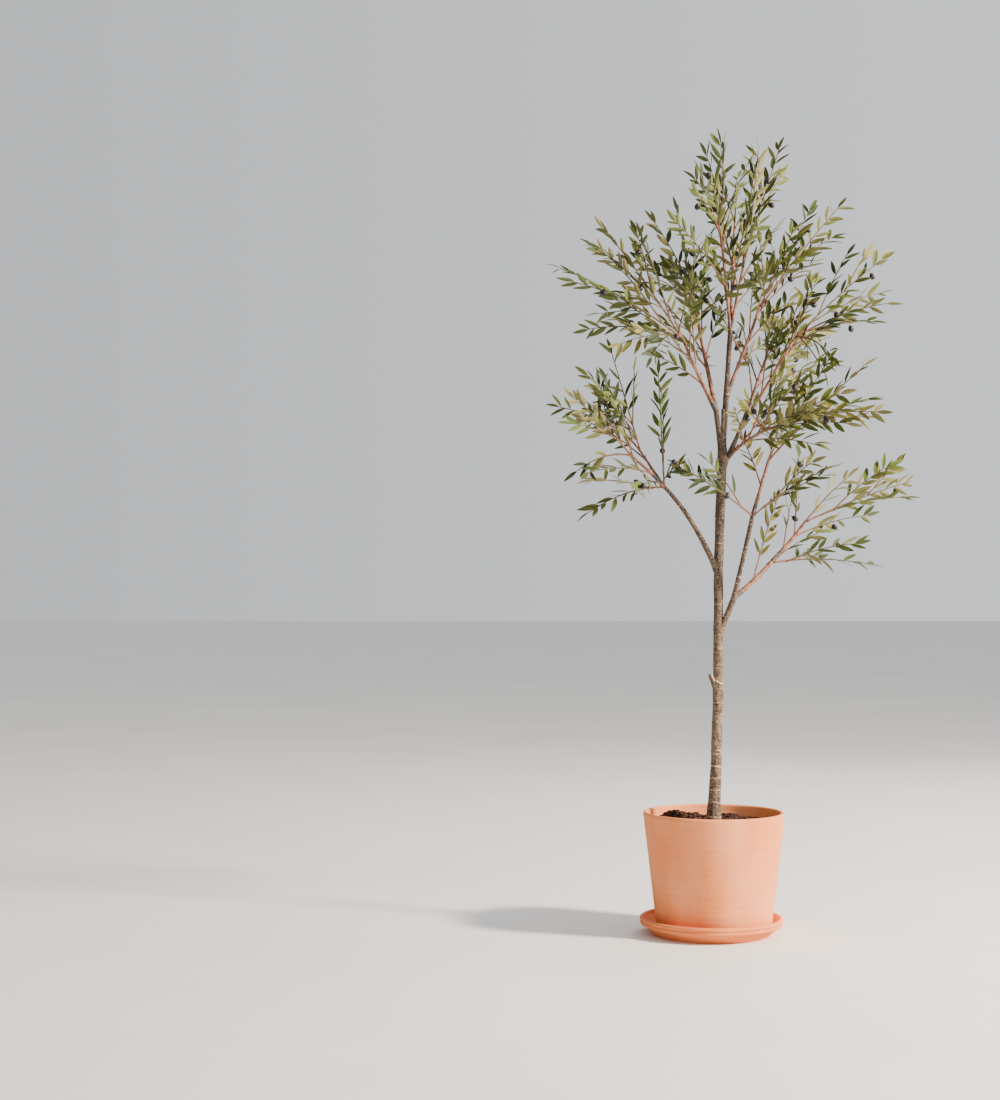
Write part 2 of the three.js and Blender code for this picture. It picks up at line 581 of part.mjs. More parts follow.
function buildTree() {
  const tree = new THREE.Group();
  const add = (name, geometry, [color, roughness]) => {
    const material = new THREE.MeshStandardMaterial({ color, roughness, metalness: 0, flatShading: true });
    const mesh = new THREE.Mesh(geometry, material);
    mesh.name = name;
    tree.add(mesh);
  };
  add('terracotta_saucer', geometryOf(solidOf(saucerGeometry())), FINISHES.saucer);
  add('terracotta_pot', geometryOf(solidOf(potGeometry())), FINISHES.terracotta);
  add('potting_soil', soilGeometry(), FINISHES.soil);

  const limbs = growLimbs();
  limbs.forEach(({ solid, skin }, name) => add(name, geometryOf(solid), FINISHES[skin]));

  const grownLimbs = [...limbs.values()].map((shape) => grown(shape, shape.sides));
  growMasses(limbs).forEach((mine, i, masses) => {
    const siblings = masses.slice(0, i).filter((other) => other.on === mine.on);
    const cutters = [...grownLimbs, ...siblings.map((other) => grown(other.twigs[0], TWIG.sides))];
    add(mine.name, geometryOf(massSolid(mine, cutters)), FINISHES.leaf);
  });
  return tree;
}

export default buildTree();
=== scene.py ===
"""Finished look of an artificial olive tree, 1.8 m tall, in a terracotta pot and its saucer.

Tables and shapes are in millimetres, as on the solids, and become metres when a mesh is made.
+Z is up, X runs across the front view and Y away from it. Materials, the floor, the lights and
the camera are in metres.
"""

import math
from collections import namedtuple
from types import SimpleNamespace as Sizes

import bpy
import numpy as np
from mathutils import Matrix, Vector, noise

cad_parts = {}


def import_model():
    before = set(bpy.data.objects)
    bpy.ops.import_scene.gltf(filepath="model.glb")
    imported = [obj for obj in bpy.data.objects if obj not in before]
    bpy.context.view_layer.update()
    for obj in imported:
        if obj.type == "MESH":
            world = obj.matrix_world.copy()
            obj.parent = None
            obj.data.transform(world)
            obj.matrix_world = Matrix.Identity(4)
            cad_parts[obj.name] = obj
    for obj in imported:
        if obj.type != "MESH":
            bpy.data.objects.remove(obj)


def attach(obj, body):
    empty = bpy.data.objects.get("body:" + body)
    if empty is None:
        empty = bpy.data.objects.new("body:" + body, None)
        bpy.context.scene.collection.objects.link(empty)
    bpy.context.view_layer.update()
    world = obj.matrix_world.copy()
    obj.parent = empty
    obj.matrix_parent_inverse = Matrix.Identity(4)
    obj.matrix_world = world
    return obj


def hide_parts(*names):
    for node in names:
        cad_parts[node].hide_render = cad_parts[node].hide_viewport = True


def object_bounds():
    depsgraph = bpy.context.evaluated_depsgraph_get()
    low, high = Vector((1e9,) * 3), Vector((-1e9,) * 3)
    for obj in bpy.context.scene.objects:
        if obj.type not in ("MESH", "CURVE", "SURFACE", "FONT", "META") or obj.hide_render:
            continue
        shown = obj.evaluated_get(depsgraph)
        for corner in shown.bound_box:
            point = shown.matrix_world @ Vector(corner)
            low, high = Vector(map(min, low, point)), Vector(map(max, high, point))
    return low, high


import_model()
solid_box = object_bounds()

MM = 0.001
GAP = 0.3
FULL_TURN = 2 * math.pi
UP = np.array([0.0, 0.0, 1.0])
AWAY = np.array([0.0, 1.0, 0.0])
NEARLY_AWAY = 0.9

# Camera: where the photograph was taken from
PHOTO_SIZE = (1000, 1100)
FOCAL_PIXELS = 1880
SENSOR_WIDTH = 36
CAMERA_PLACE = (-0.476, -4.2, 0.767)
CAMERA_PITCH = 1.17

# Pot, saucer and soil, as on the solids. The last heap is a loose ridge that the solids leave out.
SAUCER = Sizes(foot_radius=131, foot_edge=2, floor=12, floor_radius=134.5, aside=-6)
POT = Sizes(height=258, base_radius=127, rim_radius=156.5, wall=10, floor=14, foot_edge=3)
SOIL = Sizes(below_rim=24, level_radius=30, heap_radius=60)
Heap = namedtuple("Heap", "x y height spread")
HEAPS = [Heap(-82, 62, 20, 26), Heap(42, 66, 11, 24), Heap(-20, -80, 7, 40), Heap(-36, 66, 12, 21)]
POT_BASE = SAUCER.floor + GAP
SOIL_LEVEL = POT_BASE + POT.height - SOIL.below_rim
TRUNK_FOOT = SOIL_LEVEL + GAP

# Trunk and limbs, as on the solids. A limb with short sprays of its own is a bare stem.
TRUNK = Sizes(top=1080, lean=22, sway=2.5, radii=(15.2, 10.2, 10.8), waist_at=0.5, flare=3.2,
              flare_height=30, steps=14, crowding=1.2, sunk=10)
TRUNK_RISE = TRUNK.top - TRUNK_FOOT
KNOB = Sizes(height=566, left=19, front=6, rise=12, radii=(7, 4.6), foot=34)
LIMB_STEP = 80
LENGTH_SAMPLES = 201
Limb = namedtuple("Limb", "name on at reach bow radii sprays")
LIMBS = [Limb(*row) for row in (
    ("bough_leader", "trunk", 0.985, (19, 5, 276), 0, (7.2, 5.2), 0),
    ("bough_left_fork", "trunk", 0.975, (-14, -5, 104), 0, (7, 6), 0),
    ("stub_fork", "trunk", 0.99, (1, -6, 96), 0, (4.4, 4), 0),
    ("bough_left_upper", "bough_left_fork", 1, (-82, -55, 160), -4, (5, 3), 6),
    ("bough_left_inner", "bough_left_fork", 1, (-35, 75, 222), 0, (5.6, 3.2), 8),
    ("bough_leader_side", "bough_leader", 0.47, (85, 56, 211), -4, (4.6, 2.8), 6),
    ("stem_top_left", "bough_leader", 1, (-23, -35, 203), 0, (3.6, 2.6), 6),
    ("stem_top_back", "bough_leader", 1, (12, 30, 212), 0, (3.8, 2.6), 5),
    ("stem_top_right", "bough_leader", 1, (32, -12, 166), 0, (3.4, 2.6), 5),
    ("bough_right_fork", "trunk", 0.945, (52, 30, 107), -3, (6.4, 4.8), 0),
    ("stem_right_back", "bough_right_fork", 1, (64, 80, 157), 0, (4.4, 2.8), 5),
    ("stem_right_middle", "bough_right_fork", 1, (123, 30, 198), -6, (4.4, 2.8), 9),
    ("stem_right_front", "bough_right_fork", 0.3, (66, -100, 48), 4, (4.4, 2.8), 9),
    ("bough_left_low", "trunk", 0.662, (-128, -60, 194), 20, (6.2, 4), 0),
    ("stem_left_low_long", "bough_left_low", 1, (-77, -30, 68), 3, (3.6, 2.8), 2),
    ("stem_left_low_short", "bough_left_low", 1, (-50, 40, 84), 0, (3.4, 2.6), 1),
    ("bough_right_low", "trunk", 0.5, (34, -10, 83), -3, (7.4, 6.2), 0),
    ("bough_right_rise", "bough_right_low", 1, (36, -50, 183), -3, (5.6, 4.4), 0),
    ("stem_right_rise", "bough_right_rise", 1, (39, 20, 125), 0, (4.2, 3), 3),
    ("bough_right_out", "bough_right_low", 1, (92, 50, 81), -4, (5.6, 4.8), 2),
    ("stem_right_out", "bough_right_out", 1, (82, 30, 93), -3, (4.6, 2.8), 4),
)]

# Parts of the crown, with the places of their leaves' colours in LEAF_TOPS, and their masses of
# foliage as on the solids: name, limb, reach, bow, number of sprays, fan and roll
CROWN = {
    "left_low": ((0, 1, 3, 4), [
        ("left_low_rise", "bough_left_low", (-11, 20, 288), 0, 2, 32, 80),
        ("left_low_drift", "bough_left_low", (-200, -90, -72), 14, 2, 30, 60),
        ("left_low_front", "bough_left_low", (-85, -270, -28), 16, 2, 34, 20),
        ("left_low_crown", "stem_left_low_long", (-149, -70, 142), 6, 4, 24, 25),
        ("left_low_wing", "stem_left_low_long", (-152, -30, -50), 14, 1, 26, 40),
        ("left_mid_rise", "stem_left_low_short", (-72, -5, 252), 0, 3, -20, 10),
        ("left_back", "stem_left_low_short", (-110, 270, 136), 10, 3, 30, 60),
    ]),
    "left_upper": ((0, 1, 3, 4, 2), [
        ("upper_left_wing", "bough_left_upper", (-300, -30, 165), 12, 3, 15, 20),
        ("upper_left_low", "bough_left_upper", (-239, 100, 32), 14, 2, 22, 40),
        ("upper_left_front", "bough_left_upper", (-100, -300, -90), 22, 3, 32, 30),
        ("upper_left_rise", "bough_left_upper", (-194, 0, 270), 8, 4, 15, 10),
        ("inner_left_rise", "bough_left_inner", (-47, 50, 290), 0, 4, 18, 35),
        ("inner_left_back", "bough_left_inner", (-60, 280, 180), 12, 3, 30, 50),
        ("cross_front", "bough_left_inner", (129, -230, 70), 6, 2, 26, 60),
    ]),
    "top": ((0, 1, 4, 3), [
        ("top_left", "stem_top_left", (-65, -50, 168), 0, 3, 26, 30),
        ("top", "stem_top_left", (11, 30, 262), 0, 3, 20, 25),
        ("top_back", "stem_top_back", (26, 120, 195), 6, 3, 28, 40),
        ("top_right", "stem_top_right", (99, 70, 294), 0, 3, -16, 30),
    ]),
    "right_upper": ((0, 1, 2, 4, 5), [
        ("right_top_rise", "bough_leader_side", (78, -60, 189), 0, 3, -24, 20),
        ("right_top_wing", "bough_leader_side", (210, 50, 264), 6, 3, 9, 10),
        ("right_wing", "stem_right_middle", (234, 40, 208), 6, 3, 18, 20),
        ("right_reach", "stem_right_middle", (239, -30, 84), 12, 2, 14, 20),
        ("right_mid_front", "stem_right_middle", (76, -170, -80), 14, 3, 30, 30),
        ("right_back_rise", "stem_right_back", (40, 190, 160), 6, 3, 30, 60),
        ("right_back_wing", "stem_right_back", (150, 240, 30), 14, 3, 28, 60),
    ]),
    "right_low": ((1, 2, 4, 0), [
        ("right_front_rise", "stem_right_front", (20, -170, 120), 4, 2, 34, 50),
        ("right_front_low", "stem_right_front", (272, -70, 42), 14, 3, -20, 30),
        ("right_front_left", "stem_right_front", (-71, -110, 55), 6, 2, 30, 40),
        ("right_low_crown", "stem_right_rise", (230, -50, 227), 6, 3, -18, 30),
        ("cross_left", "bough_right_rise", (-202, -140, 114), 6, 2, 14, 10),
        ("right_low_wing", "bough_right_rise", (192, -60, 119), 10, 3, 14, 25),
        ("right_low_reach", "stem_right_out", (282, 40, 105), 6, 3, 12, 10),
        ("right_low_skirt", "bough_right_out", (261, 20, -7), 10, 2, -12, 10),
    ]),
}
Mass = namedtuple("Mass", "part name on reach bow sprays fan roll")
MASSES = [Mass(part, *row) for part, (_, rows) in CROWN.items() for row in rows]

# Seeds of the trunk, its knob, the limbs, the masses' twigs and leaves, the stems' sprays and crumbs
SEEDS = Sizes(trunk=301, knob=302, limbs=400, masses=11, leaves=5011, stems=9000, crumbs=77)

# Twigs: the rule of the solids, then the finer twigs that each spray carries here
TWIG = Sizes(root_radius=2.5, tip_radius=1.2, side_radius=2, step=110, first=0.14, next=0.12,
             length=(0.7, 0.95), fan_jitter=6, roll_jitter=35, lift=0.05, root_aside=0.5,
             root_sunk=1, bare_lead=0.34, bare_side=0.2, clear=8)
LIMB_TIP = 0.9
FINE = Sizes(first=0.1, last=0.6, spacing=110, angle=(33, 9), roll_jitter=60,
             length=(70, 130), length_share=0.9, shortest=42, bare=0.14, lift=0.03)
# Sprays that grow straight from the stems, flatter to them towards the tip
STEM_SPRAY = Sizes(first=0.3, last=1.0, low_angle=50, tip_angle=18, angle_jitter=12, turn=(137.5, 25),
                   length=(100, 180), deeper=0.5, bare=0.2, lift=0.05)

# Twigs as shown: their radii, and the lengths at which their colour changes
SHOWN_TWIG = Sizes(sides=6, step=9, least_rings=4, end_rings=2, knot=0.3, knot_power=6)
TWIG_COLOURS = ["80543c", "6a5234", "544c2c"]
LEAD_TWIG = ((2.3, 1.0), (32, 75))
SIDE_TWIG = ((1.9, 0.9), (8, 40))
FINE_TWIG = ((1.4, 0.8), (0, 14))
STEM_TWIG = ((1.9, 0.9), (32, 75))

# Leaves at life size: pairs along each twig and one at its tip
LEAF = Sizes(spacing=28, length=45.5, length_jitter=7, tip_length=32, width=(10.4, 1.9), spread=35,
             spread_jitter=14, roll_jitter=28, twist=35, twist_jitter=36, shift=0.3, missing=0.1,
             fold=0.22, curl=(0.1, 0.16), sweep_jitter=0.1, thickness=0.5, clear=2,
             last_length=38.4, last_at=0.99, sharp=17)
# Outline of a leaf: shares of its length that have points, its stalk, and where it is widest
LEAF_STATIONS = (0.05, 0.15, 0.3, 0.46, 0.63, 0.8, 0.93)
LEAF_OUTLINE = Sizes(stalk=0.09, widest=0.45, fullness=0.7, least=0.1)
# Points round a leaf at each station: how far aside, and above or below the middle
LEAF_RING = [(1, 0), (0, 1), (-1, 0), (0, -1)]
# Shares of a leaf's length that are tested against the limbs
LEAF_TESTED = (0.3, 0.65, 1.0)

OLIVE = Sizes(length=16.5, radius=6.3, share=0.7, stem_share=0.25, furthest=0.85, sides=14, rings=10,
              pointed=0.1, least=0.05, hangs=0.4, hung_at=0.47, sharp=70)
STALK = Sizes(length=9, radii=(0.6, 0.9), forward=0.5, droop=0.7, sides=6, rings=4)


def linear(code):
    """Linear red, green, blue and alpha of a colour written as six hexadecimal digits."""
    shades = [int(code[i:i + 2], 16) / 255 for i in (0, 2, 4)]
    return [s / 12.92 if s <= 0.04045 else ((s + 0.055) / 1.055) ** 2.4 for s in shades] + [1.0]


# Leaf colours. A spray has one of the tops and one of the undersides, and the sprays of two masses
# that cross the stems, which lie in the crown's shade, all have the same darkest ones as painted
# shade, by their places in the lists.
LEAF_TOPS = ["3a4418", "545a20", "655f24", "2d3713", "4e5f23", "696c2a"]
LEAF_UNDERSIDES = ["6c6938", "817b4e", "5c6431"]
PAINTED_SHADE_TONE = (3, 2)
MASSES_IN_PAINTED_SHADE = ("cross_front", "cross_left")


def seeded(seed):
    """Repeatable chance: numbers from 0 to 1 that depend only on the seed."""
    mask = 0xFFFFFFFF
    state = seed & mask

    def draw():
        nonlocal state
        state = (state + 0x6D2B79F5) & mask
        t = state
        t = ((t ^ (t >> 15)) * (t | 1)) & mask
        t ^= (t + (t ^ (t >> 7)) * (t | 61)) & mask
        return (t ^ (t >> 14)) / (mask + 1)
    return draw


def jitter(random, reach):
    return (2 * random() - 1) * reach


def about(random, usual, reach):
    return usual + jitter(random, reach)


def between(random, least, most):
    return least + (most - least) * random()


def unit(v):
    return v / np.linalg.norm(v)


def bell(x):
    """1 at 0, falling smoothly to nothing beyond about 2."""
    return np.exp(-x ** 2)


def smoothstep(low, high, value):
    t = np.clip((value - low) / (high - low), 0, 1)
    return t * t * (3 - 2 * t)


def square_to(heading):
    """A unit vector square to a heading, as near to AWAY as it can be, or else to UP."""
    guide = AWAY if abs(heading[1]) < NEARLY_AWAY else UP
    return unit(guide - heading * guide.dot(heading))


def turned(v, axis, degrees):
    """A vector, or rows of them, turned round an axis."""
    angle = math.radians(degrees)
    return (v * math.cos(angle) + np.cross(axis, v) * math.sin(angle)
            + axis * (v @ axis)[..., None] * (1 - math.cos(angle)))


def hinge_at(heading, roll):
    """A unit vector square to a heading, rolled round it."""
    return turned(square_to(heading), heading, roll)


class Stem:
    """A tapering stem along a curve whose middle is lifted by its bow."""

    def __init__(self, start, reach, bow, radii, step, bare=0.0):
        self.start = start
        self.end = start + reach
        self.middle = (self.start + self.end) / 2 + 2 * bow * UP
        self.bare = bare
        self.length = path_lengths(self.at(np.linspace(0, 1, LENGTH_SAMPLES)))[-1]
        steps = max(2, math.floor(self.length / step + 0.5))
        self.points = self.at(np.linspace(0, 1, steps + 1))
        self.radii = np.linspace(*radii, steps + 1)

    def at(self, t):
        t = np.asarray(t, float)[..., None]
        return (1 - t) ** 2 * self.start + 2 * t * (1 - t) * self.middle + t ** 2 * self.end

    def radius(self, t):
        return np.interp(t, [0, 1], self.radii[[0, -1]])

    def heading(self, t):
        return unit((1 - t) * (self.middle - self.start) + t * (self.end - self.middle))

    def along(self, t):
        """Centre and heading at a fraction of the stem, on its straight lengths."""
        steps = len(self.points) - 1
        piece = min(int(t * steps), steps - 1)
        way = self.points[piece + 1] - self.points[piece]
        return self.points[piece] + way * (t * steps - piece), unit(way)


def path_lengths(points):
    """Length along a path up to each of its points."""
    return np.concatenate([[0], np.cumsum(np.linalg.norm(np.diff(points, axis=0), axis=1))])


def trunk_centre(t):
    t = np.asarray(t, float)
    sway = TRUNK.sway * np.sin(FULL_TURN * t)
    return np.stack([TRUNK.lean * t + sway, -sway / 2, TRUNK_FOOT + TRUNK_RISE * t], -1)


def trunk_radius(t):
    """Radius at a fraction of the trunk's height: thinner up to the waist, at first quickly."""
    above = np.maximum(t, 0)
    lower = np.sqrt(np.minimum(above / TRUNK.waist_at, 1))
    upper = np.maximum(above - TRUNK.waist_at, 0) / (1 - TRUNK.waist_at)
    flare = TRUNK.flare * np.exp(-above * TRUNK_RISE / TRUNK.flare_height)
    return np.interp(lower + upper, [0, 1, 2], TRUNK.radii) + flare


def grow_trunk():
    """The trunk, with what a stem offers to those that grow from it."""
    t = (np.arange(TRUNK.steps + 1) / TRUNK.steps) ** TRUNK.crowding
    t[0] = -TRUNK.sunk / TRUNK_RISE
    return Sizes(at=trunk_centre, radius=trunk_radius, points=trunk_centre(t), radii=trunk_radius(t))


def room_round(point, shapes):
    """The least distance from a point to the surface of any of some stems."""
    best = math.inf
    for shape in shapes:
        a = shape.points[:-1]
        way = shape.points[1:] - a
        t = np.clip(((point - a) * way).sum(1) / (way * way).sum(1), 0, 1)
        distance = np.linalg.norm(a + way * t[:, None] - point, axis=1) - shape.radii[:-1]
        best = min(best, distance.min())
    return best


def grow_limbs():
    limbs = {"trunk": grow_trunk()}
    for limb in LIMBS:
        root = limbs[limb.on].at(limb.at)
        limbs[limb.name] = Stem(root, np.array(limb.reach, float), limb.bow, limb.radii, LIMB_STEP)
    return limbs


def lead_stem(mass, limbs):
    """The lead stem of a mass starts at its limb's tip, set towards the side that it grows to."""
    limb = limbs[mass.on]
    reach = np.array(mass.reach, float)
    tip = limb.at(1)
    heading = unit(tip - limb.at(LIMB_TIP))
    aside = unit(reach - heading * reach.dot(heading))
    root = tip + aside * limb.radii[-1] * TWIG.root_aside - heading * TWIG.root_sunk
    end = tip + unit(reach) * (np.linalg.norm(reach) - LEAF.last_length)
    return Stem(root, end - root, mass.bow, (TWIG.root_radius, TWIG.tip_radius), TWIG.step, TWIG.bare_lead)


def side_twigs(mass, seed, lead, neighbours):
    """Side twigs branch left and right of the lead by the seeded rule."""
    random = seeded(seed)
    twigs = []
    for k in range(1, mass.sprays):
        along = TWIG.first + TWIG.next * (k - 1)
        centre, heading = lead.along(along)
        hinge = hinge_at(heading, mass.roll + jitter(random, TWIG.roll_jitter))
        side = 1 if k % 2 else -1
        turn = side * mass.fan * math.ceil(k / 2) + jitter(random, TWIG.fan_jitter)
        length = lead.length * (1 - along) * between(random, *TWIG.length)
        twig = Stem(centre, turned(heading, hinge, turn) * length, length * TWIG.lift,
                    (TWIG.side_radius, TWIG.tip_radius), TWIG.step, TWIG.bare_side)
        if all(room_round(p, neighbours) > TWIG.clear for p in twig.points[1:]):
            twigs.append(twig)
    return twigs


def grow_masses(limbs):
    """The twigs of each mass, exactly as on the solids."""
    grown = [[lead_stem(mass, limbs)] for mass in MASSES]
    for i, mass in enumerate(MASSES):
        others = [twig for k, twigs in enumerate(grown) if k != i for twig in twigs]
        neighbours = [*limbs.values(), *others]
        grown[i] += side_twigs(mass, SEEDS.masses + i, grown[i][0], neighbours)
    return grown


def branch_off(stem, t, angle, roll, length, rule):
    """A twig that leaves a stem at a fraction of its length, with its rule's lift and bare part."""
    heading = stem.heading(t)
    reach = turned(heading, hinge_at(heading, roll), angle) * length
    radii = (TWIG.side_radius, TWIG.tip_radius)
    return Stem(stem.at(t), reach, length * rule.lift, radii, TWIG.step, rule.bare)


def fine_twigs(spray, random):
    """Finer twigs of a spray, left and right in turn."""
    count = int(spray.length * (FINE.last - FINE.first) / FINE.spacing)
    twigs = []
    flat = jitter(random, 90)
    for k in range(count):
        t = FINE.first + (FINE.last - FINE.first) * (k + random()) / count
        side = 1 if k % 2 else -1
        angle = side * about(random, *FINE.angle)
        roll = flat + jitter(random, FINE.roll_jitter)
        longest = spray.length * (1 - t) * FINE.length_share
        length = min(between(random, *FINE.length), longest)
        if length > FINE.shortest:
            twigs.append(branch_off(spray, t, angle, roll, length, FINE))
    return twigs


def stem_sprays(stem, count, random):
    """Short sprays that grow straight from a stem, on all sides of it, longer to front and back."""
    rule = STEM_SPRAY
    sprays = []
    roll = 360 * random()
    for k in range(count):
        t = rule.first + (rule.last - rule.first) * (k + random()) / count
        angle = rule.low_angle + (rule.tip_angle - rule.low_angle) * t + jitter(random, rule.angle_jitter)
        roll += about(random, *rule.turn)
        heading = stem.heading(t)
        depth = abs(turned(heading, hinge_at(heading, roll), angle)[1])
        length = between(random, *rule.length) * (1 + rule.deeper * depth)
        sprays.append(branch_off(stem, t, angle, roll, length, rule))
    return sprays


Leaf = namedtuple("Leaf", "root direction normal length width curl sweep top underside")


def spray_leaves(twig, random, tone):
    """Leaves of one twig: pairs that share a seeded twist, and a last leaf that points on."""
    flat = jitter(random, 180)
    twist = jitter(random, LEAF.twist)
    leafy = 1 - twig.bare
    pairs = max(2, round(twig.length * leafy / LEAF.spacing))
    leaves = []

    def add_leaf(t, spread, length):
        heading = twig.heading(t)
        plane = hinge_at(heading, flat + jitter(random, LEAF.roll_jitter))
        direction = turned(heading, plane, spread)
        normal = turned(plane, direction, twist + jitter(random, LEAF.twist_jitter))
        if normal[2] < 0:
            normal = -normal
        width = about(random, *LEAF.width) * math.sqrt(length / LEAF.length)
        curl = about(random, *LEAF.curl)
        sweep = jitter(random, LEAF.sweep_jitter)
        leaves.append(Leaf(twig.at(t), direction, normal, length, width, curl, sweep, *tone))

    for i in range(pairs):
        t = twig.bare + leafy * (i + 0.5) / pairs
        usual = LEAF.length + (LEAF.tip_length - LEAF.length) * (i / pairs) ** 2
        for side in (1, -1):
            spread = side * (LEAF.spread + jitter(random, LEAF.spread_jitter))
            offset = LEAF.shift * random() / pairs
            length = usual + jitter(random, LEAF.length_jitter)
            if random() > LEAF.missing:
                add_leaf(min(t + side * offset, LEAF.last_at), spread, length)
    add_leaf(LEAF.last_at, jitter(random, LEAF.spread_jitter), LEAF.last_length)
    return leaves


def leaf_width_share(s):
    """Half the width of a leaf at a fraction of its length, as a share of the widest half."""
    outline = LEAF_OUTLINE
    blade = np.clip((s - outline.stalk) / (1 - outline.stalk), 0, 1)
    power = math.log(0.5) / math.log((outline.widest - outline.stalk) / (1 - outline.stalk))
    return np.maximum(np.sin(np.pi * blade ** power) ** outline.fullness, outline.least)


def placed(name, data):
    """A new object with its data, in the scene."""
    made = bpy.data.objects.new(name, data)
    bpy.context.scene.collection.objects.link(made)
    return made


class Shape:
    """Points, faces with their material slots, and a mark at each point, for one mesh."""

    def __init__(self):
        self.points, self.faces, self.slots, self.marks = [], [], [], []
        self.count = 0

    def add(self, points, faces, slots=0, marks=0.0):
        points = np.asarray(points, float).reshape(-1, 3)
        self.points.append(points)
        self.faces += [[corner + self.count for corner in face] for face in faces]
        self.slots += [slots] * len(faces) if isinstance(slots, int) else list(slots)
        self.marks.append(np.broadcast_to(np.asarray(marks, float), len(points)))
        self.count += len(points)

    def add_tube(self, centres, radii, sides, slots=0, marks=0.0):
        self.add(tube_points(centres, radii, sides), tube_faces(len(centres), sides), slots, marks)

    def piece(self, name, materials, sharp=None, mark=None):
        """The mesh object of this shape. Edges sharper than sharp degrees stay sharp."""
        mesh = bpy.data.meshes.new(name)
        mesh.from_pydata((np.concatenate(self.points) * MM).tolist(), [], self.faces)
        for material in materials:
            mesh.materials.append(material)
        mesh.polygons.foreach_set("material_index", self.slots)
        mesh.shade_smooth()
        if sharp is not None:
            mesh.set_sharp_from_angle(angle=math.radians(sharp))
        if mark is not None:
            attribute = mesh.attributes.new(mark, "FLOAT", "POINT")
            attribute.data.foreach_set("value", np.concatenate(self.marks).astype(np.float32))
        return placed(name, mesh)


def around(sides):
    """Cosines and sines of evenly spaced angles, and the angles."""
    angles = FULL_TURN * np.arange(sides) / sides
    return np.cos(angles), np.sin(angles), angles


def tube_faces(rings, sides):
    """Faces of a tube of rings of points, with a flat face at each end."""
    ring = np.arange(rings - 1)[:, None] * sides
    here = np.arange(sides)[None]
    there = (here + 1) % sides
    quads = np.stack([ring + here, ring + there, ring + sides + there, ring + sides + here], -1)
    last = (rings - 1) * sides
    return [*quads.reshape(-1, 4).tolist(), list(range(sides))[::-1], list(range(last, last + sides))]


def tube_points(centres, radii, sides):
    """Points of a tube that doesn't twist along its path. radii has a row or a number for each ring."""
    headings = np.gradient(centres, axis=0)
    headings /= np.linalg.norm(headings, axis=1)[:, None]
    across = [square_to(headings[0])]
    for heading in headings[1:]:
        across.append(unit(across[-1] - heading * heading.dot(across[-1])))
    across = np.array(across)
    beside = np.cross(headings, across)
    cos, sin, _ = around(sides)
    rays = cos[None, :, None] * across[:, None] + sin[None, :, None] * beside[:, None]
    return centres[:, None] + rays * np.asarray(radii, float).reshape(len(centres), -1, 1)


# Ends of tubes: the height of the dome as a share of the radius, its rings, and its point
ROUND_END = 0.6
CUT_END = 0.15
END_RINGS = 4
END_POINT = 0.02


def rounded_end(centres, radii, end=ROUND_END, rings=END_RINGS):
    """The path and radii of a tube with a dome added at its end."""
    heading = unit(centres[-1] - centres[-2])
    turns = np.linspace(0, np.pi / 2, rings + 1)[1:]
    last = radii[-1]
    extra = centres[-1] + heading * (end * last * np.sin(turns))[:, None]
    return np.concatenate([centres, extra]), np.concatenate([radii, last * np.cos(turns) + END_POINT])


NOISE_APART = 17.3
NOISE_PLACES = 1000


def noise_at(points, scale, seed=0):
    """Noise from -1 to 1 at points, with a scale in features per millimetre."""
    shifted = points * np.asarray(scale, float) + NOISE_APART * seed
    flat = shifted.reshape(-1, 3)
    return np.array([noise.noise(Vector(p)) for p in flat]).reshape(shifted.shape[:-1])


# Relief of the moulded bark: furrows along the limb, knurls, short flecks across it and bulges.
# Each has its rise and its scale across and along the limb.
RISES = (0.5, 0.28, 0.22, 1.1)
SCALES = ((0.3, 0.3, 0.07), (0.45, 0.45, 0.5), (0.3, 0.3, 0.95), (0.035, 0.035, 0.02))
FLECK = Sizes(low=0.28, high=0.5, pale=0.45)
# Pale ring scars, each an arc with a sunken seam below it that is darkened with painted shadow. Arcs are in
# radians.
SCAR = Sizes(rise=0.6, width=0.95, seam=0.5, seam_below=2.2, apart=(10, 34), half_arc=(0.6, 2.9),
             whole_from=2.8, fades=(0.5, -0.3), strength=(0.3, 1.1), wave=0.5, ragged=0.8,
             broken=(-0.5, 0.05))
COLLAR = Sizes(swelling=0.42, length=9)


def bark_relief(lengths, radii, sides, random, thin):
    """Local radii and paleness of a bark tube, whose paleness goes below zero for painted shadow in the
    seams. thin scales the relief for slender limbs.
    """
    cos, sin, angles = around(sides)
    along = np.broadcast_to(lengths[:, None], (len(lengths), sides))
    local = np.stack([radii[:, None] * cos, radii[:, None] * sin, along], -1)
    shift = int(NOISE_PLACES * random())
    furrows, knurls, flecks, bulges = (noise_at(local, s, shift + k) for k, s in enumerate(SCALES))
    flecks = smoothstep(FLECK.low, FLECK.high, flecks)
    relief = sum(rise * height for rise, height in zip(RISES, (furrows, knurls, flecks, bulges)))
    pale = FLECK.pale * flecks
    whole = smoothstep(*SCAR.broken, knurls)
    place = between(random, *SCAR.apart)
    while place < lengths[-1]:
        middle = FULL_TURN * random()
        half = between(random, *SCAR.half_arc)
        off_middle = np.abs((angles - middle + math.pi) % FULL_TURN - math.pi)
        outer, inner = (half + fade for fade in SCAR.fades)
        within = smoothstep(outer, inner, off_middle) if half < SCAR.whole_from else np.ones(sides)
        off = along - place - SCAR.wave * np.sin(angles * 2 + middle) - SCAR.ragged * furrows
        near = bell(off / SCAR.width) * within * whole
        below = bell((off + SCAR.seam_below) / SCAR.width) * within
        strength = between(random, *SCAR.strength)
        relief = relief + strength * (SCAR.rise * near - SCAR.seam * below)
        # The seam lowers the mark below zero, which the material turns into painted shadow.
        pale = np.maximum(pale, strength * near) - strength * below
        place += between(random, *SCAR.apart)
    return radii[:, None] + thin * relief, pale


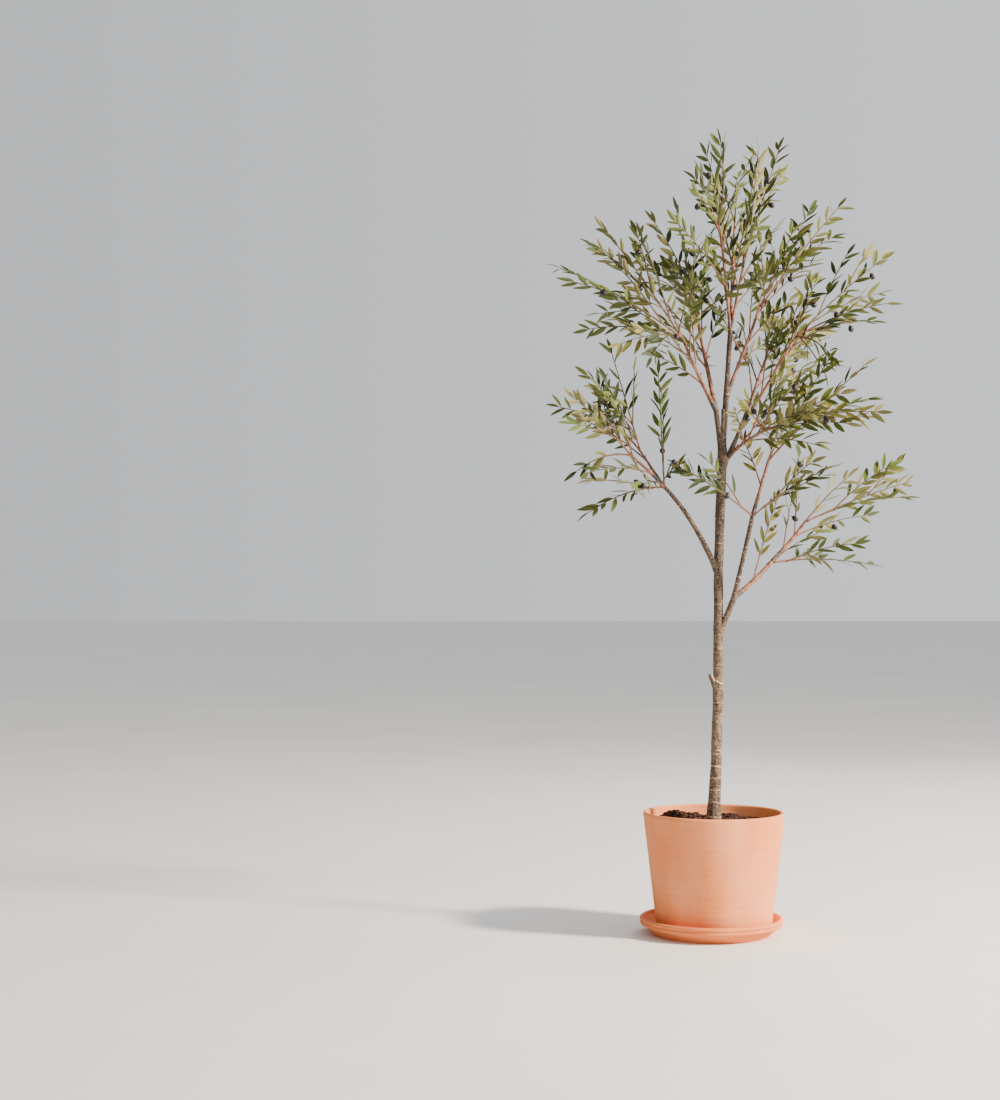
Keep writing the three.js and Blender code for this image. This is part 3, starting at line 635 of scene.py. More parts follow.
def bark_limb(shape, path, radii, mesh, seed, end=ROUND_END, marks=None):
    """Adds a bark-covered limb. marks gives more relief and paleness at (heights, angles)."""
    path, radii = rounded_end(path, radii, end)
    local, pale = bark_relief(path_lengths(path), radii, mesh.sides, seeded(seed), mesh.relief)
    if marks is not None:
        relief, scars = marks(path[:, 2:], around(mesh.sides)[2][None])
        local = local + relief
        pale = np.maximum(pale, scars)
    local[-END_RINGS:] = radii[-END_RINGS:, None]
    shape.add_tube(path, local, mesh.sides, marks=pale.reshape(-1))


def with_collar(lengths, radii, clear_of):
    """Radii that swell where a limb leaves its parent, whose surface lies at clear_of."""
    beyond = np.maximum(lengths - clear_of, 0)
    return radii * (1 + COLLAR.swelling * np.exp(-beyond / COLLAR.length))


# A cream scar that runs down from the knob across the front, and a swelling below its end.
# Angles go round the trunk from the back by the left, in radians.
KNOB_SCAR = Sizes(top=572, drop=18, first=0.42 * math.pi, last=1.6 * math.pi, width=1.4, rise=0.7,
                  ragged=0.4, starts=(-0.05, 0.05), stops=(1.05, 0.9))
SWELLING = Sizes(height=524, half_length=20, angle=1.5 * math.pi, half_angle=1.1, rise=3.2)
KNOB_RIDGE = Sizes(angle=1.25 * math.pi, half_angle=0.3, rise=0.5)
# Cream rings near the foot, each a little aslant
FOOT_RINGS = (292, 321, 344, 370, 401)
FOOT_RING = Sizes(width=1.1, rise=0.5, slant=2.5, slant_turn=2, ragged=0.7, patchy=0.3)
# Waves of a scar's edge: rise, number round the trunk and share of the turn that shifts them
RAGGED_WAVES = ((0.5, 5, 1), (0.3, 11, 2), (0.2, 17, 0))


def ragged(angles, turn):
    """Up and down of a scar's edge round the trunk, from -1 to 1."""
    return sum(rise * np.sin(count * angles + shift * turn) for rise, count, shift in RAGGED_WAVES)


def trunk_marks(heights, angles):
    """Relief and paleness of the trunk's own scars."""
    share = (angles - KNOB_SCAR.first) / (KNOB_SCAR.last - KNOB_SCAR.first)
    down = KNOB_SCAR.drop * (1 - (1 - np.clip(share, 0, 1)) ** 2)
    width = KNOB_SCAR.width * (1 + KNOB_SCAR.ragged * ragged(angles, 0))
    within = smoothstep(*KNOB_SCAR.starts, share) * smoothstep(*KNOB_SCAR.stops, share)
    scar = within * bell((heights - KNOB_SCAR.top + down) / width)
    along = (heights - SWELLING.height) / SWELLING.half_length
    beside = (angles - SWELLING.angle) / SWELLING.half_angle
    relief = KNOB_SCAR.rise * scar + SWELLING.rise * bell(along) * bell(beside)
    for i, height in enumerate(FOOT_RINGS):
        slant = FOOT_RING.slant * np.sin(angles + FOOT_RING.slant_turn * i)
        off = heights - height - slant - FOOT_RING.ragged * ragged(angles, i)
        patches = 1 - FOOT_RING.patchy + FOOT_RING.patchy * ragged(angles, 3 * i)
        ring = bell(off / FOOT_RING.width) * patches
        relief = relief + FOOT_RING.rise * ring
        scar = np.maximum(scar, ring)
    return relief, scar


def knob_ridge(heights, angles):
    """Relief and paleness of the ridge along the knob."""
    ridge = bell((angles - KNOB_RIDGE.angle) / KNOB_RIDGE.half_angle) * np.ones_like(heights)
    return KNOB_RIDGE.rise * ridge, ridge


# Meshes of the bark: length of a ring, points round it and the share of the full relief
TRUNK_MESH = Sizes(step=1.6, sides=48, relief=1.0)
KNOB_MESH = Sizes(rings=34, sides=24, relief=0.8)
BOUGH_MESH = Sizes(step=1.9, sides=24, relief=0.75)
# The trunk starts a little below the soil, its last stretch thins into the fork, and the knob is
# a little shorter than the solid one
TRUNK_START = -0.004
FORK_THINS = Sizes(at=0.97, by=0.22)
KNOB_SHOWN = 0.95


def make_trunk(material):
    shape = Shape()
    t = np.linspace(TRUNK_START, 1, int(TRUNK_RISE / TRUNK_MESH.step))
    radii = trunk_radius(t) * (1 - FORK_THINS.by * smoothstep(FORK_THINS.at, 1, t))
    bark_limb(shape, trunk_centre(t), radii, TRUNK_MESH, SEEDS.trunk, marks=trunk_marks)
    root = trunk_centre((KNOB.height - TRUNK_FOOT) / TRUNK_RISE) - KNOB.foot * UP
    way = np.array([-KNOB.left, -KNOB.front, KNOB.rise + KNOB.foot]) * KNOB_SHOWN
    t = np.linspace(0, 1, KNOB_MESH.rings)
    radii = np.linspace(*KNOB.radii, KNOB_MESH.rings)
    bark_limb(shape, root + way * t[:, None], radii, KNOB_MESH, SEEDS.knob, CUT_END, knob_ridge)
    return shape.piece("bark_trunk", [material], mark="pale")


def make_bough(limb, stem, parent_radius, seed, material):
    shape = Shape()
    t = np.linspace(0, 1, int(stem.length / BOUGH_MESH.step))
    radii = stem.radius(t)
    if limb.at < 1:
        radii = with_collar(t * stem.length, radii, parent_radius)
    carries = any(other.on == limb.name for other in LIMBS)
    bark_limb(shape, stem.at(t), radii, BOUGH_MESH, seed, ROUND_END if carries else CUT_END)
    return shape.piece("bark_" + limb.name, [material], mark="pale")


# Bare plastic stems: a swelling and a short peg at each node, and a sleeve of bark at the root
STEM_MESH = Sizes(step=2.4, sides=16)
NODE = Sizes(after_sleeve=8, before_tip=6, apart=(26, 46), swelling=0.16, swelling_length=2.6,
             turn=(137, 30))
PEG = Sizes(length=(4, 9), radii=(1.5, 0.9), angle=42, rings=5, sides=8)
SLEEVE = Sizes(length=(14, 34), edge=1.5, rise=0.14, ragged=3)
STEM_GRAIN = Sizes(scale=0.35, stem=0.03, sleeve=0.05, edge=1)


def before(place, edge, lengths):
    """1 up to a place along a stem and 0 beyond it, with a soft edge."""
    return smoothstep(place + edge, place - edge, lengths)


def make_stem(limb, stem, parent_radius, seed, material):
    random = seeded(seed)
    shape = Shape()
    t = np.linspace(0, 1, int(stem.length / STEM_MESH.step))
    lengths = t * stem.length
    sleeve = parent_radius + between(random, *SLEEVE.length)
    radii = stem.radius(t) * (1 + SLEEVE.rise * before(sleeve, SLEEVE.edge, lengths))
    if limb.at < 1:
        radii = with_collar(lengths, radii, parent_radius)
    place = sleeve + NODE.after_sleeve
    turn = 360 * random()
    while place < stem.length - NODE.before_tip:
        radii = radii * (1 + NODE.swelling * bell((lengths - place) / NODE.swelling_length))
        add_peg(shape, stem, place / stem.length, turn, random)
        place += between(random, *NODE.apart)
        turn += about(random, *NODE.turn)
    centres, radii = rounded_end(stem.at(t), radii)
    lengths = np.concatenate([lengths, np.full(END_RINGS, lengths[-1])])
    rough = noise_at(tube_points(centres, radii, STEM_MESH.sides), STEM_GRAIN.scale, seed)
    grain = STEM_GRAIN.stem + STEM_GRAIN.sleeve * before(sleeve, STEM_GRAIN.edge, lengths)
    marks = before(sleeve, SLEEVE.edge, lengths[:, None] + SLEEVE.ragged * rough)
    shape.add_tube(centres, radii[:, None] * (1 + grain[:, None] * rough), STEM_MESH.sides,
                   marks=marks.reshape(-1))
    plain_name = limb.name.replace("stem_", "").replace("bough_", "")
    return shape.piece("stem_" + plain_name, [material], mark="sleeve")


def add_peg(shape, stem, t, turn, random):
    heading = stem.heading(t)
    out = turned(heading, hinge_at(heading, turn), PEG.angle)
    reach = stem.radius(t) + between(random, *PEG.length)
    steps = np.linspace(0, 1, PEG.rings)[:, None]
    centres, radii = rounded_end(stem.at(t) + out * reach * steps, np.linspace(*PEG.radii, PEG.rings))
    shape.add_tube(centres, radii, PEG.sides)


def leaf_faces():
    """Faces of a leaf whose points are its root, its tip and its rings, and which are on top."""
    faces, on_top = [], []
    sides = len(LEAF_RING)
    last = 2 + sides * (len(LEAF_STATIONS) - 1)
    for k in range(sides):
        after = (k + 1) % sides
        faces.append([0, 2 + after, 2 + k])
        for low in range(2, last, sides):
            high = low + sides
            faces.append([low + k, low + after, high + after, high + k])
        faces.append([last + k, last + after, 1])
        on_top += [k < sides / 2] * (len(LEAF_STATIONS) + 1)
    return faces, np.array(on_top)


def leaf_shape(leaves):
    """All leaves as one shape: thin closed blades with a fold along the middle."""
    share = np.array([0, 1, *np.repeat(LEAF_STATIONS, len(LEAF_RING))])
    side, above = np.array([(0, 0), (0, 0), *LEAF_RING * len(LEAF_STATIONS)]).T
    root, direction, normal, length, width, curl, sweep = (
        np.array([getattr(leaf, field) for leaf in leaves])[:, None] for field in Leaf._fields[:-2])
    beside = np.cross(normal, direction)
    half = width / 2 * leaf_width_share(share) * side
    bend = length * share ** 2
    upwards = LEAF.fold * np.abs(half) + LEAF.thickness / 2 * above - curl * bend
    points = (root + (length * share)[..., None] * direction
              + (half + sweep * bend)[..., None] * beside + upwards[..., None] * normal)
    faces, on_top = leaf_faces()
    shape = Shape()
    for leaf, corners in zip(leaves, points):
        shape.add(corners, faces, np.where(on_top, leaf.top, len(LEAF_TOPS) + leaf.underside))
    return shape


def twig_shape(twigs):
    """All twigs of a part of the crown, with a knot at each pair of leaves."""
    shape = Shape()
    for twig, (ends, changes) in twigs:
        t = np.linspace(0, 1, max(SHOWN_TWIG.least_rings, int(twig.length / SHOWN_TWIG.step)))
        lengths = t * twig.length
        knots = (0.5 + 0.5 * np.cos(FULL_TURN * lengths / LEAF.spacing)) ** SHOWN_TWIG.knot_power
        radii = np.interp(t, [0, 1], ends) * (1 + SHOWN_TWIG.knot * knots)
        centres, radii = rounded_end(twig.at(t), radii, rings=SHOWN_TWIG.end_rings)
        colours = np.digitize(np.repeat(np.append(lengths, twig.length), SHOWN_TWIG.sides), changes)
        shape.add_tube(centres, radii, SHOWN_TWIG.sides, [*colours, colours[0], colours[-1]])
    return shape


def add_olive(olives, stalks, twig, random):
    """A slightly pointed ellipsoid on a short stalk, which leaves the twig sideways and droops."""
    t = between(random, twig.bare, OLIVE.furthest)
    heading = twig.heading(t)
    way = unit(hinge_at(heading, 360 * random()) + STALK.forward * heading - STALK.droop * UP)
    steps = np.linspace(0, STALK.length, STALK.rings)[:, None]
    stalks.add_tube(twig.at(t) + way * steps, np.linspace(*STALK.radii, STALK.rings), STALK.sides)
    axis = unit(way - OLIVE.hangs * UP)
    turns = np.linspace(0, np.pi, OLIVE.rings)[:, None]
    along = OLIVE.length * (OLIVE.hung_at - np.cos(turns) / 2)
    radii = np.sin(turns) * OLIVE.radius * (1 - OLIVE.pointed * np.cos(turns)) + OLIVE.least
    olives.add_tube(twig.at(t) + way * STALK.length + axis * along, radii, OLIVE.sides)


# Materials. A pattern of spots has its scale in features per metre, its detail, the noise values
# where the spots start and are full, the most that they cover, their stretch and ragged edges.
CLAY_CLOUDS = (11, 4, 0.42, 0.7, 0.7, (1, 1, 0.6))
CLAY_STREAKS = (4, 3, 0.5, 0.8, 0.15, (1, 1, 40))
CLAY_STAIN = (30, 4, 0.42, 0.7, 0.6)
PEAT_CLUMPS = (130, 4, 0.35, 0.68)
# The pale specks on the peat are painted highlights.
PEAT_PAINTED_HIGHLIGHTS = (420, 2, 0.6, 0.7, 0.7)
BARK_FIBRES = (130, 4, 0.36, 0.66, 1, (1, 1, 0.35))
BARK_FLECKS = (230, 6, 0.51, 0.62, 0.9, (1, 1, 1.9), 0.78)
BARK_PITS = (220, 6, 0.47, 0.38, 0.85, (1, 1, 0.8), 0.75)
STEM_MOTTLE = (90, 3, 0.36, 0.66)
STEM_GREENER = (25, 2, 0.5, 0.72, 0.45)
SLEEVE_SCARS = (60, 2, 0.62, 0.7, 0.6, (0.3, 0.3, 3))
FLOOR_CLOUDS = (1.5, 2, 0.3, 0.7)
# Values where these start and are full, and the most that they cover: the clay's grain by its
# noise, the darker bark by height, and scars and the painted shadow in the seams by the mark on
# the mesh
CLAY_GRAIN = (0.55, 0.8, 0.25)
BARK_DARKER = (0.5, 0.95, 0.65)
BARK_SCARS = (0.2, 0.7, 0.95)
BARK_SEAM_PAINTED_SHADOW = (-0.15, -0.6, 0.9)
STREAK_DEPTH = 1.5


class Nodes:
    """Short ways to add nodes to a tree. Most give the socket that comes out."""

    def __init__(self, tree):
        self.tree = tree

    def feed(self, node, values):
        """Links the values that are sockets to a node's inputs, and sets the others."""
        for key, value in values.items():
            if isinstance(value, bpy.types.NodeSocket):
                self.tree.links.new(value, node.inputs[key])
            else:
                node.inputs[key].default_value = value

    def node(self, kind, values, output=0, **settings):
        made = self.tree.nodes.new("ShaderNode" + kind)
        for key, value in settings.items():
            setattr(made, key, value)
        self.feed(made, values)
        return made.outputs[output]

    def noise(self, scale, detail, stretch=(1, 1, 1), ragged=0.5):
        """Noise on the object's own coordinates."""
        place = self.node("Mapping", {"Vector": self.node("TexCoord", {}, "Object"), "Scale": stretch})
        values = {"Vector": place, "Scale": scale, "Detail": detail, "Roughness": ragged}
        return self.node("TexNoise", values, "Fac")

    def spread(self, value, low, high, most=1.0, least=0.0):
        """A value from low to high, spread from least to most."""
        values = {"Value": value, "From Min": low, "From Max": high, "To Min": least, "To Max": most}
        return self.node("MapRange", values)

    def spots(self, scale, detail, low, high, most=1.0, stretch=(1, 1, 1), ragged=0.5):
        return self.spread(self.noise(scale, detail, stretch, ragged), low, high, most)

    def math(self, operation, first, second):
        return self.node("Math", {0: first, 1: second}, operation=operation)

    def near(self, point, radius):
        """1 at a point of the object and 0 beyond a radius."""
        place = self.node("TexCoord", {}, "Object")
        distance = self.node("VectorMath", {0: place, 1: point}, "Value", operation="DISTANCE")
        return self.spread(distance, radius, 0)

    def mixed(self, share, first, second):
        return self.node("Mix", {0: share, 6: first, 7: second}, 2, data_type="RGBA")


class Finish(Nodes):
    """A material whose colour is built up in coats."""

    def __init__(self, name, code, roughness, specular):
        self.material = bpy.data.materials.new(name)
        self.material.use_nodes = True
        super().__init__(self.material.node_tree)
        self.shader = self.tree.nodes["Principled BSDF"]
        self.feed(self.shader, {"Roughness": roughness, "Specular IOR Level": specular})
        self.colour = linear(code)

    def coat(self, code, share):
        """Adds a colour. share is how much it covers, or a pattern of spots."""
        share = self.spots(*share) if isinstance(share, tuple) else share
        self.colour = self.mixed(share, self.colour, linear(code))

    def bump(self, height, strength, depth):
        bump = self.node("Bump", {"Height": height, "Strength": strength, "Distance": depth})
        self.feed(self.shader, {"Normal": bump})

    def done(self):
        self.feed(self.shader, {"Base Color": self.colour})
        return self.material


def clay_material(name, clay, bloom, dark, stain_at, stain_reach):
    """Unglazed clay: clouds of pale bloom, streaks from throwing, a rusty stain and fine grain."""
    finish = Finish(name, clay, roughness=0.85, specular=0.25)
    streaks = finish.spots(*CLAY_STREAKS)
    stain = finish.math("MULTIPLY", finish.near(stain_at, stain_reach), finish.spots(*CLAY_STAIN))
    grain = finish.noise(scale=420, detail=2)
    finish.coat(bloom, CLAY_CLOUDS)
    finish.coat(dark, streaks)
    finish.coat(dark, stain)
    finish.coat(bloom, finish.spread(grain, *CLAY_GRAIN))
    relief = finish.math("ADD", grain, finish.math("MULTIPLY", streaks, STREAK_DEPTH))
    finish.bump(relief, strength=0.35, depth=0.0004)
    return finish.done()


def soil_material():
    finish = Finish("peat", "241712", roughness=0.95, specular=0.2)
    finish.coat("553528", PEAT_CLUMPS)
    # Pale specks: painted highlights on the crumbs of peat
    finish.coat("8a6049", PEAT_PAINTED_HIGHLIGHTS)
    finish.bump(finish.noise(scale=360, detail=4), strength=0.8, depth=0.0015)
    return finish.done()


def cover_with_bark(finish, pale, dark):
    """Moulded bark: fibres, pale flecks, dark pits, darker towards the top, painted shadow in the seams and
    cream scars.
    """
    height = finish.node("SeparateXYZ", {0: finish.node("TexCoord", {}, "Object")}, "Z")
    finish.colour = linear("392c22")
    finish.coat("766150", BARK_FIBRES)
    finish.coat("b89e87", BARK_FLECKS)
    finish.coat("1d1612", BARK_PITS)
    finish.coat("33261e", finish.spread(height, *BARK_DARKER))
    # Painted shadow in the seams below the scars
    finish.coat("1a1310", dark)
    finish.coat("d6c09f", pale)


def bark_material():
    finish = Finish("moulded_bark", "392c22", roughness=0.82, specular=0.3)
    mark = finish.node("Attribute", {}, "Fac", attribute_name="pale")
    cover_with_bark(finish, finish.spread(mark, *BARK_SCARS), finish.spread(mark, *BARK_SEAM_PAINTED_SHADOW))
    finish.bump(finish.noise(scale=600, detail=4, stretch=(1, 1, 0.5)), strength=0.5, depth=0.0005)
    return finish.done()


def stem_material():
    """Orange-brown plastic, with bark where the sleeve mark is set."""
    finish = Finish("stem_plastic", "5e3828", roughness=0.55, specular=0.4)
    sleeve = finish.node("Attribute", {}, "Fac", attribute_name="sleeve")
    finish.coat("9b664a", STEM_MOTTLE)
    finish.coat("6e5030", STEM_GREENER)
    plastic = finish.colour
    cover_with_bark(finish, finish.spots(*SLEEVE_SCARS), 0)
    finish.colour = finish.mixed(sleeve, plastic, finish.colour)
    finish.bump(finish.noise(scale=300, detail=3), strength=0.35, depth=0.0004)
    return finish.done()


def plain_material(name, code, roughness, specular, grain):
    """A plain colour dealt out by piece or spray, with a fine grain in its bump."""
    finish = Finish(name, code, roughness, specular)
    finish.bump(finish.noise(grain, detail=3), strength=0.3, depth=0.0003)
    return finish.done()


def plain_materials(name, codes, roughness, specular, grain):
    return [plain_material(f"{name}_{i}", code, roughness, specular, grain) for i, code in enumerate(codes)]


# Pot and saucer. Outlines run from near the axis out along the underside, up, and in over the
# floor, with rings of points partway and a little inside each edge. Arcs end in first and last
# angle in degrees and steps, and lines are their start, end and spacing.
AXIS = 1
PARTWAY = 60
EDGE = 1
UNDERSIDE_SPACING = 12
TURNED_SIDES = 144
TURNED_SHARP = 50
POT_FOOT = (-88, -8, 5)
POT_LIP = (-8, 178, 14)
LIP_INSET = 0.4
# Straight stretches of the pot: how far above its foot and below its rim they end, how far in
# they lie at the rim, and the spacing of their points
POT_OUTSIDE = Sizes(above=6, below=8, inset=0.6, spacing=2.2)
POT_INSIDE = Sizes(above=16, below=9, inset=0.9, spacing=3)
SAUCER_FOOT = (-88, -30, 4)
SAUCER_FLARE = ((131.6, 2.6), (147.5, 17), 2)
SAUCER_GROOVE = (150.1, 17.6, 2.2, 165, 90, 3)
LOWER_BEAD = (153.6, 24.4, 4.1, -75, 62, 7)
UPPER_BEAD = (153.7, 33.2, 4.8, -48, 170, 12)
SAUCER_INSIDE = ((148.6, 32), (136.5, 13.5), 3)
# Rings left by the wheel, fine and broad, and how far the shapes are out of round
WHEEL = Sizes(fine=0.16, fine_scale=1.35, fine_waver=0.5, broad=0.12, broad_scale=0.47,
              broad_waver=1.1, oval=0.35, oval_turn=0.6, plain_within=20)


def arc(r, z, radius, first, last, steps):
    """Points of an arc in the half plane of a turned shape."""
    angles = np.radians(np.linspace(first, last, steps + 1))
    return np.stack([r + radius * np.cos(angles), z + radius * np.sin(angles)], -1)


def even_line(start, end, spacing):
    """Points from start to end, about a spacing apart, without the last."""
    start, end = np.array(start, float), np.array(end, float)
    steps = max(1, round(np.linalg.norm(end - start) / spacing))
    return start + (end - start) * (np.arange(steps) / steps)[:, None]


def underside(radius, edge, outwards, ends):
    """The flat underside of a turned shape, and the arc round its foot."""
    flat = even_line((PARTWAY, 0), (radius - edge - EDGE, 0), UNDERSIDE_SPACING)
    return [[AXIS, 0]], flat, arc(radius - edge + outwards, edge, edge, *ends)


def inner_floor(radius, height):
    return [[r, height] for r in (radius - EDGE, PARTWAY, AXIS)]


def throwing_lines(angles, r, z):
    """Faint rings left by the wheel, a little uneven round the pot."""
    w = WHEEL
    fine = w.fine * np.sin(z * w.fine_scale + w.fine_waver * np.sin(angles))
    broad = w.broad * np.sin(z * w.broad_scale + w.broad_waver * np.cos(angles))
    oval = w.oval * np.cos(2 * angles + w.oval_turn)
    return np.where(r > w.plain_within, fine + broad + oval, 0)


def turned_piece(name, outline, centre, material):
    """A turned shape at a centre, with its throwing lines."""
    cos, sin, angles = around(TURNED_SIDES)
    r, z = outline[:, :1], outline[:, 1:]
    out = r + throwing_lines(angles, r, z)
    points = np.stack([out * cos, out * sin, np.broadcast_to(z, out.shape)], -1) + centre
    shape = Shape()
    shape.add(points, tube_faces(len(outline), TURNED_SIDES))
    return shape.piece(name, [material], sharp=TURNED_SHARP)


def make_pot(material):
    p, outside, inside = POT, POT_OUTSIDE, POT_INSIDE
    slope = (p.rim_radius - p.base_radius) / p.height
    half = p.wall / 2
    within = p.base_radius - p.wall
    outline = np.concatenate([
        *underside(p.base_radius, p.foot_edge, slope * p.foot_edge, POT_FOOT),
        even_line((p.base_radius + slope * outside.above, outside.above),
                  (p.rim_radius - outside.inset, p.height - outside.below), outside.spacing),
        arc(p.rim_radius - half - LIP_INSET, p.height - half, half, *POT_LIP),
        even_line((p.rim_radius - p.wall - inside.inset, p.height - inside.below),
                  (within + slope * inside.above, inside.above), inside.spacing),
        inner_floor(within, p.floor),
    ])
    return turned_piece("clay_pot", outline, (0, 0, POT_BASE), material)


def make_saucer(material):
    s = SAUCER
    outline = np.concatenate([
        *underside(s.foot_radius, s.foot_edge, 0, SAUCER_FOOT),
        even_line(*SAUCER_FLARE),
        arc(*SAUCER_GROOVE),
        arc(*LOWER_BEAD),
        arc(*UPPER_BEAD),
        even_line(*SAUCER_INSIDE),
        inner_floor(s.floor_radius, s.floor),
    ])
    return turned_piece("clay_saucer", outline, (s.aside, 0, 0), material)


# Surface of the soil. Clods have a rise, a scale and a seed, and are lower towards the wall.
GROUND = Sizes(clear=0.8, sides=120, rings=46, crowding=0.9, middle=0.5, edge=12, edge_share=0.3,
               clods=((1.9, 0.09, 5), (1.3, 0.25, 6)), sunk=0.6, narrowing=0.985, depth=14, sharp=60)
# Crumbs: some lie on the heaps in turn, the others anywhere clear of the trunk and the wall
CRUMB = Sizes(number=900, cycle=5, on_heaps=3, widened=1.6, least=0.9, larger=4.4, power=3, clear=1,
              trunk_clear=21, width=(0.6, 1), height=(0.45, 0.8), rough=0.35, rough_scale=1.7,
              turn=222.48, raised=0.25, rings=5, sides=7, cap=0.25)


def soil_height(x, y):
    away = smoothstep(SOIL.level_radius, SOIL.heap_radius, np.hypot(x, y))
    heaps = (h.height * bell(np.hypot(x - h.x, y - h.y) / h.spread) for h in HEAPS)
    return SOIL_LEVEL + away * sum(heaps)


def make_soil(material):
    """A crumbly surface inside the pot, closed below, and crumbs of peat lying on it."""
    g = GROUND
    wall = POT.base_radius + (POT.rim_radius - POT.base_radius) * (SOIL_LEVEL - POT_BASE) / POT.height
    radius = wall - POT.wall - g.clear
    cos, sin, _ = around(g.sides)
    r = radius * (np.arange(g.rings + 1) / g.rings) ** g.crowding
    r[0] = g.middle
    x, y = r[:, None] * cos, r[:, None] * sin
    top = np.stack([x, y, soil_height(x, y)], -1)
    clods = sum(rise * noise_at(top, scale, seed) for rise, scale, seed in g.clods)
    full = smoothstep(radius, radius - g.edge, r)[:, None]
    top[..., 2] += clods * (g.edge_share + (1 - g.edge_share) * full) - g.sunk
    below = top[-1:] * (g.narrowing, g.narrowing, 1) - g.depth * UP
    shape = Shape()
    shape.add([*top, *below], [face[::-1] for face in tube_faces(g.rings + 2, g.sides)])
    add_crumbs(shape, radius)
    return shape.piece("peat_soil", [material], sharp=g.sharp)


def crumb_shape():
    """A rough lump: the corners and faces of a small ball."""
    cos, sin, _ = around(CRUMB.sides)
    turns = np.linspace(CRUMB.cap, np.pi - CRUMB.cap, CRUMB.rings)[:, None]
    out = np.sin(turns)
    points = np.stack([out * cos, out * sin, -np.cos(turns) + 0 * cos], -1)
    return points.reshape(-1, 3), tube_faces(CRUMB.rings, CRUMB.sides)


def add_crumbs(shape, radius):
    c = CRUMB
    random = seeded(SEEDS.crumbs)
    ball, faces = crumb_shape()
    for k in range(c.number):
        if k % c.cycle < c.on_heaps:
            heap = HEAPS[k % len(HEAPS)]
            x = heap.x + jitter(random, heap.spread * c.widened)
            y = heap.y + jitter(random, heap.spread)
        else:
            angle, reach = FULL_TURN * random(), radius * math.sqrt(random())
            x, y = reach * math.cos(angle), reach * math.sin(angle)
        size = c.least + c.larger * random() ** c.power
        if c.trunk_clear <= math.hypot(x, y) <= radius - size - c.clear:
            lump = size * ball * (1, between(random, *c.width), between(random, *c.height))
            lump *= 1 + c.rough * noise_at(ball, c.rough_scale, k)[:, None]
            place = (x, y, soil_height(x, y) + size * c.raised)
            shape.add(turned(lump, UP, c.turn * k) + place, faces)


# Crown
SOLID_LOW, SOLID_HIGH = (np.array(corner) / MM for corner in solid_box)


class CrownPart:
    """Leaves, twigs and olives of one part of the crown, and the nodes that they stand for."""

    def __init__(self, tops, stems):
        self.tops, self.stems = tops, stems
        self.leaves, self.twigs, self.nodes = [], [], []
        self.olives, self.stalks = Shape(), Shape()

    def deal_tone(self, random):
        """Places in the lists of the tops and undersides, for one spray."""
        return self.tops[int(random() * len(self.tops))], int(random() * len(LEAF_UNDERSIDES))

    def fits(self, leaf):
        """Whether a leaf lies within the solids' box and clear of the stems."""
        shares = np.array(LEAF_TESTED)[:, None]
        points = leaf.root + leaf.direction * leaf.length * shares
        points = points - leaf.normal * leaf.curl * leaf.length * shares ** 2
        inside = (points > SOLID_LOW).all() and (points < SOLID_HIGH).all()
        return inside and all(room_round(p, self.stems) > LEAF.clear for p in points)

    def dress(self, twig, kind, random, tone):
        self.twigs.append((twig, kind))
        self.leaves += [leaf for leaf in spray_leaves(twig, random, tone) if self.fits(leaf)]

    def hang_olive(self, twig, share, random):
        if random() < share:
            add_olive(self.olives, self.stalks, twig, random)


def make_crown(limbs):
    """Foliage of every part, on the sprays of its masses and of its stems."""
    parts = {name: CrownPart(tops, list(limbs.values())) for name, (tops, _) in CROWN.items()}
    part_of_limb = {mass.on: parts[mass.part] for mass in MASSES}
    for i, (mass, sprays) in enumerate(zip(MASSES, grow_masses(limbs))):
        part = parts[mass.part]
        part.nodes.append("leaves_" + mass.name)
        random = seeded(SEEDS.leaves + i)
        for k, spray in enumerate(sprays):
            tone = part.deal_tone(random)
            # Masses in the crown's shade get the darkest tones: painted shade.
            if mass.name in MASSES_IN_PAINTED_SHADE:
                tone = PAINTED_SHADE_TONE
            part.dress(spray, SIDE_TWIG if k else LEAD_TWIG, random, tone)
            for twig in fine_twigs(spray, random):
                part.dress(twig, FINE_TWIG, random, tone)
            part.hang_olive(spray, OLIVE.share, random)
    for i, limb in enumerate(limb for limb in LIMBS if limb.sprays):
        part = part_of_limb[limb.name]
        random = seeded(SEEDS.stems + i)
        for spray in stem_sprays(limbs[limb.name], limb.sprays, random):
            part.dress(spray, STEM_TWIG, random, part.deal_tone(random))
            part.hang_olive(spray, OLIVE.stem_share, random)
    return parts


def keep_crown(parts):
    """Leaves, twigs, olives and their stalks of every part, as pieces."""
    tops = plain_materials("leaf_top", LEAF_TOPS, roughness=0.6, specular=0.22, grain=700)
    undersides = plain_materials("leaf_underside", LEAF_UNDERSIDES, roughness=0.68, specular=0.22,
                                 grain=700)
    twigs = plain_materials("twig", TWIG_COLOURS, roughness=0.6, specular=0.35, grain=300)
    olive = plain_material("olive_skin", "1f181a", roughness=0.42, specular=0.45, grain=260)
    for name, part in parts.items():
        leaves = leaf_shape(part.leaves)
        keep(leaves.piece(f"foliage_{name}", tops + undersides, LEAF.sharp), "leaves", *part.nodes)
        keep(twig_shape(part.twigs).piece(f"twigs_{name}", twigs), "leaves")
        keep(part.olives.piece(f"olives_{name}", [olive], OLIVE.sharp), "leaves")
        keep(part.stalks.piece(f"stalks_{name}", twigs[-1:]), "leaves")


def keep(made, slot, *nodes):
    """A finished piece rides with the tree, and stands for nodes of the solids."""
    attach(made, "root")
    if nodes:
        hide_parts(*nodes)


# Floor, lights and camera
FLOOR_HALF = 40
DOME = Sizes(left=0.35, right=1.45)
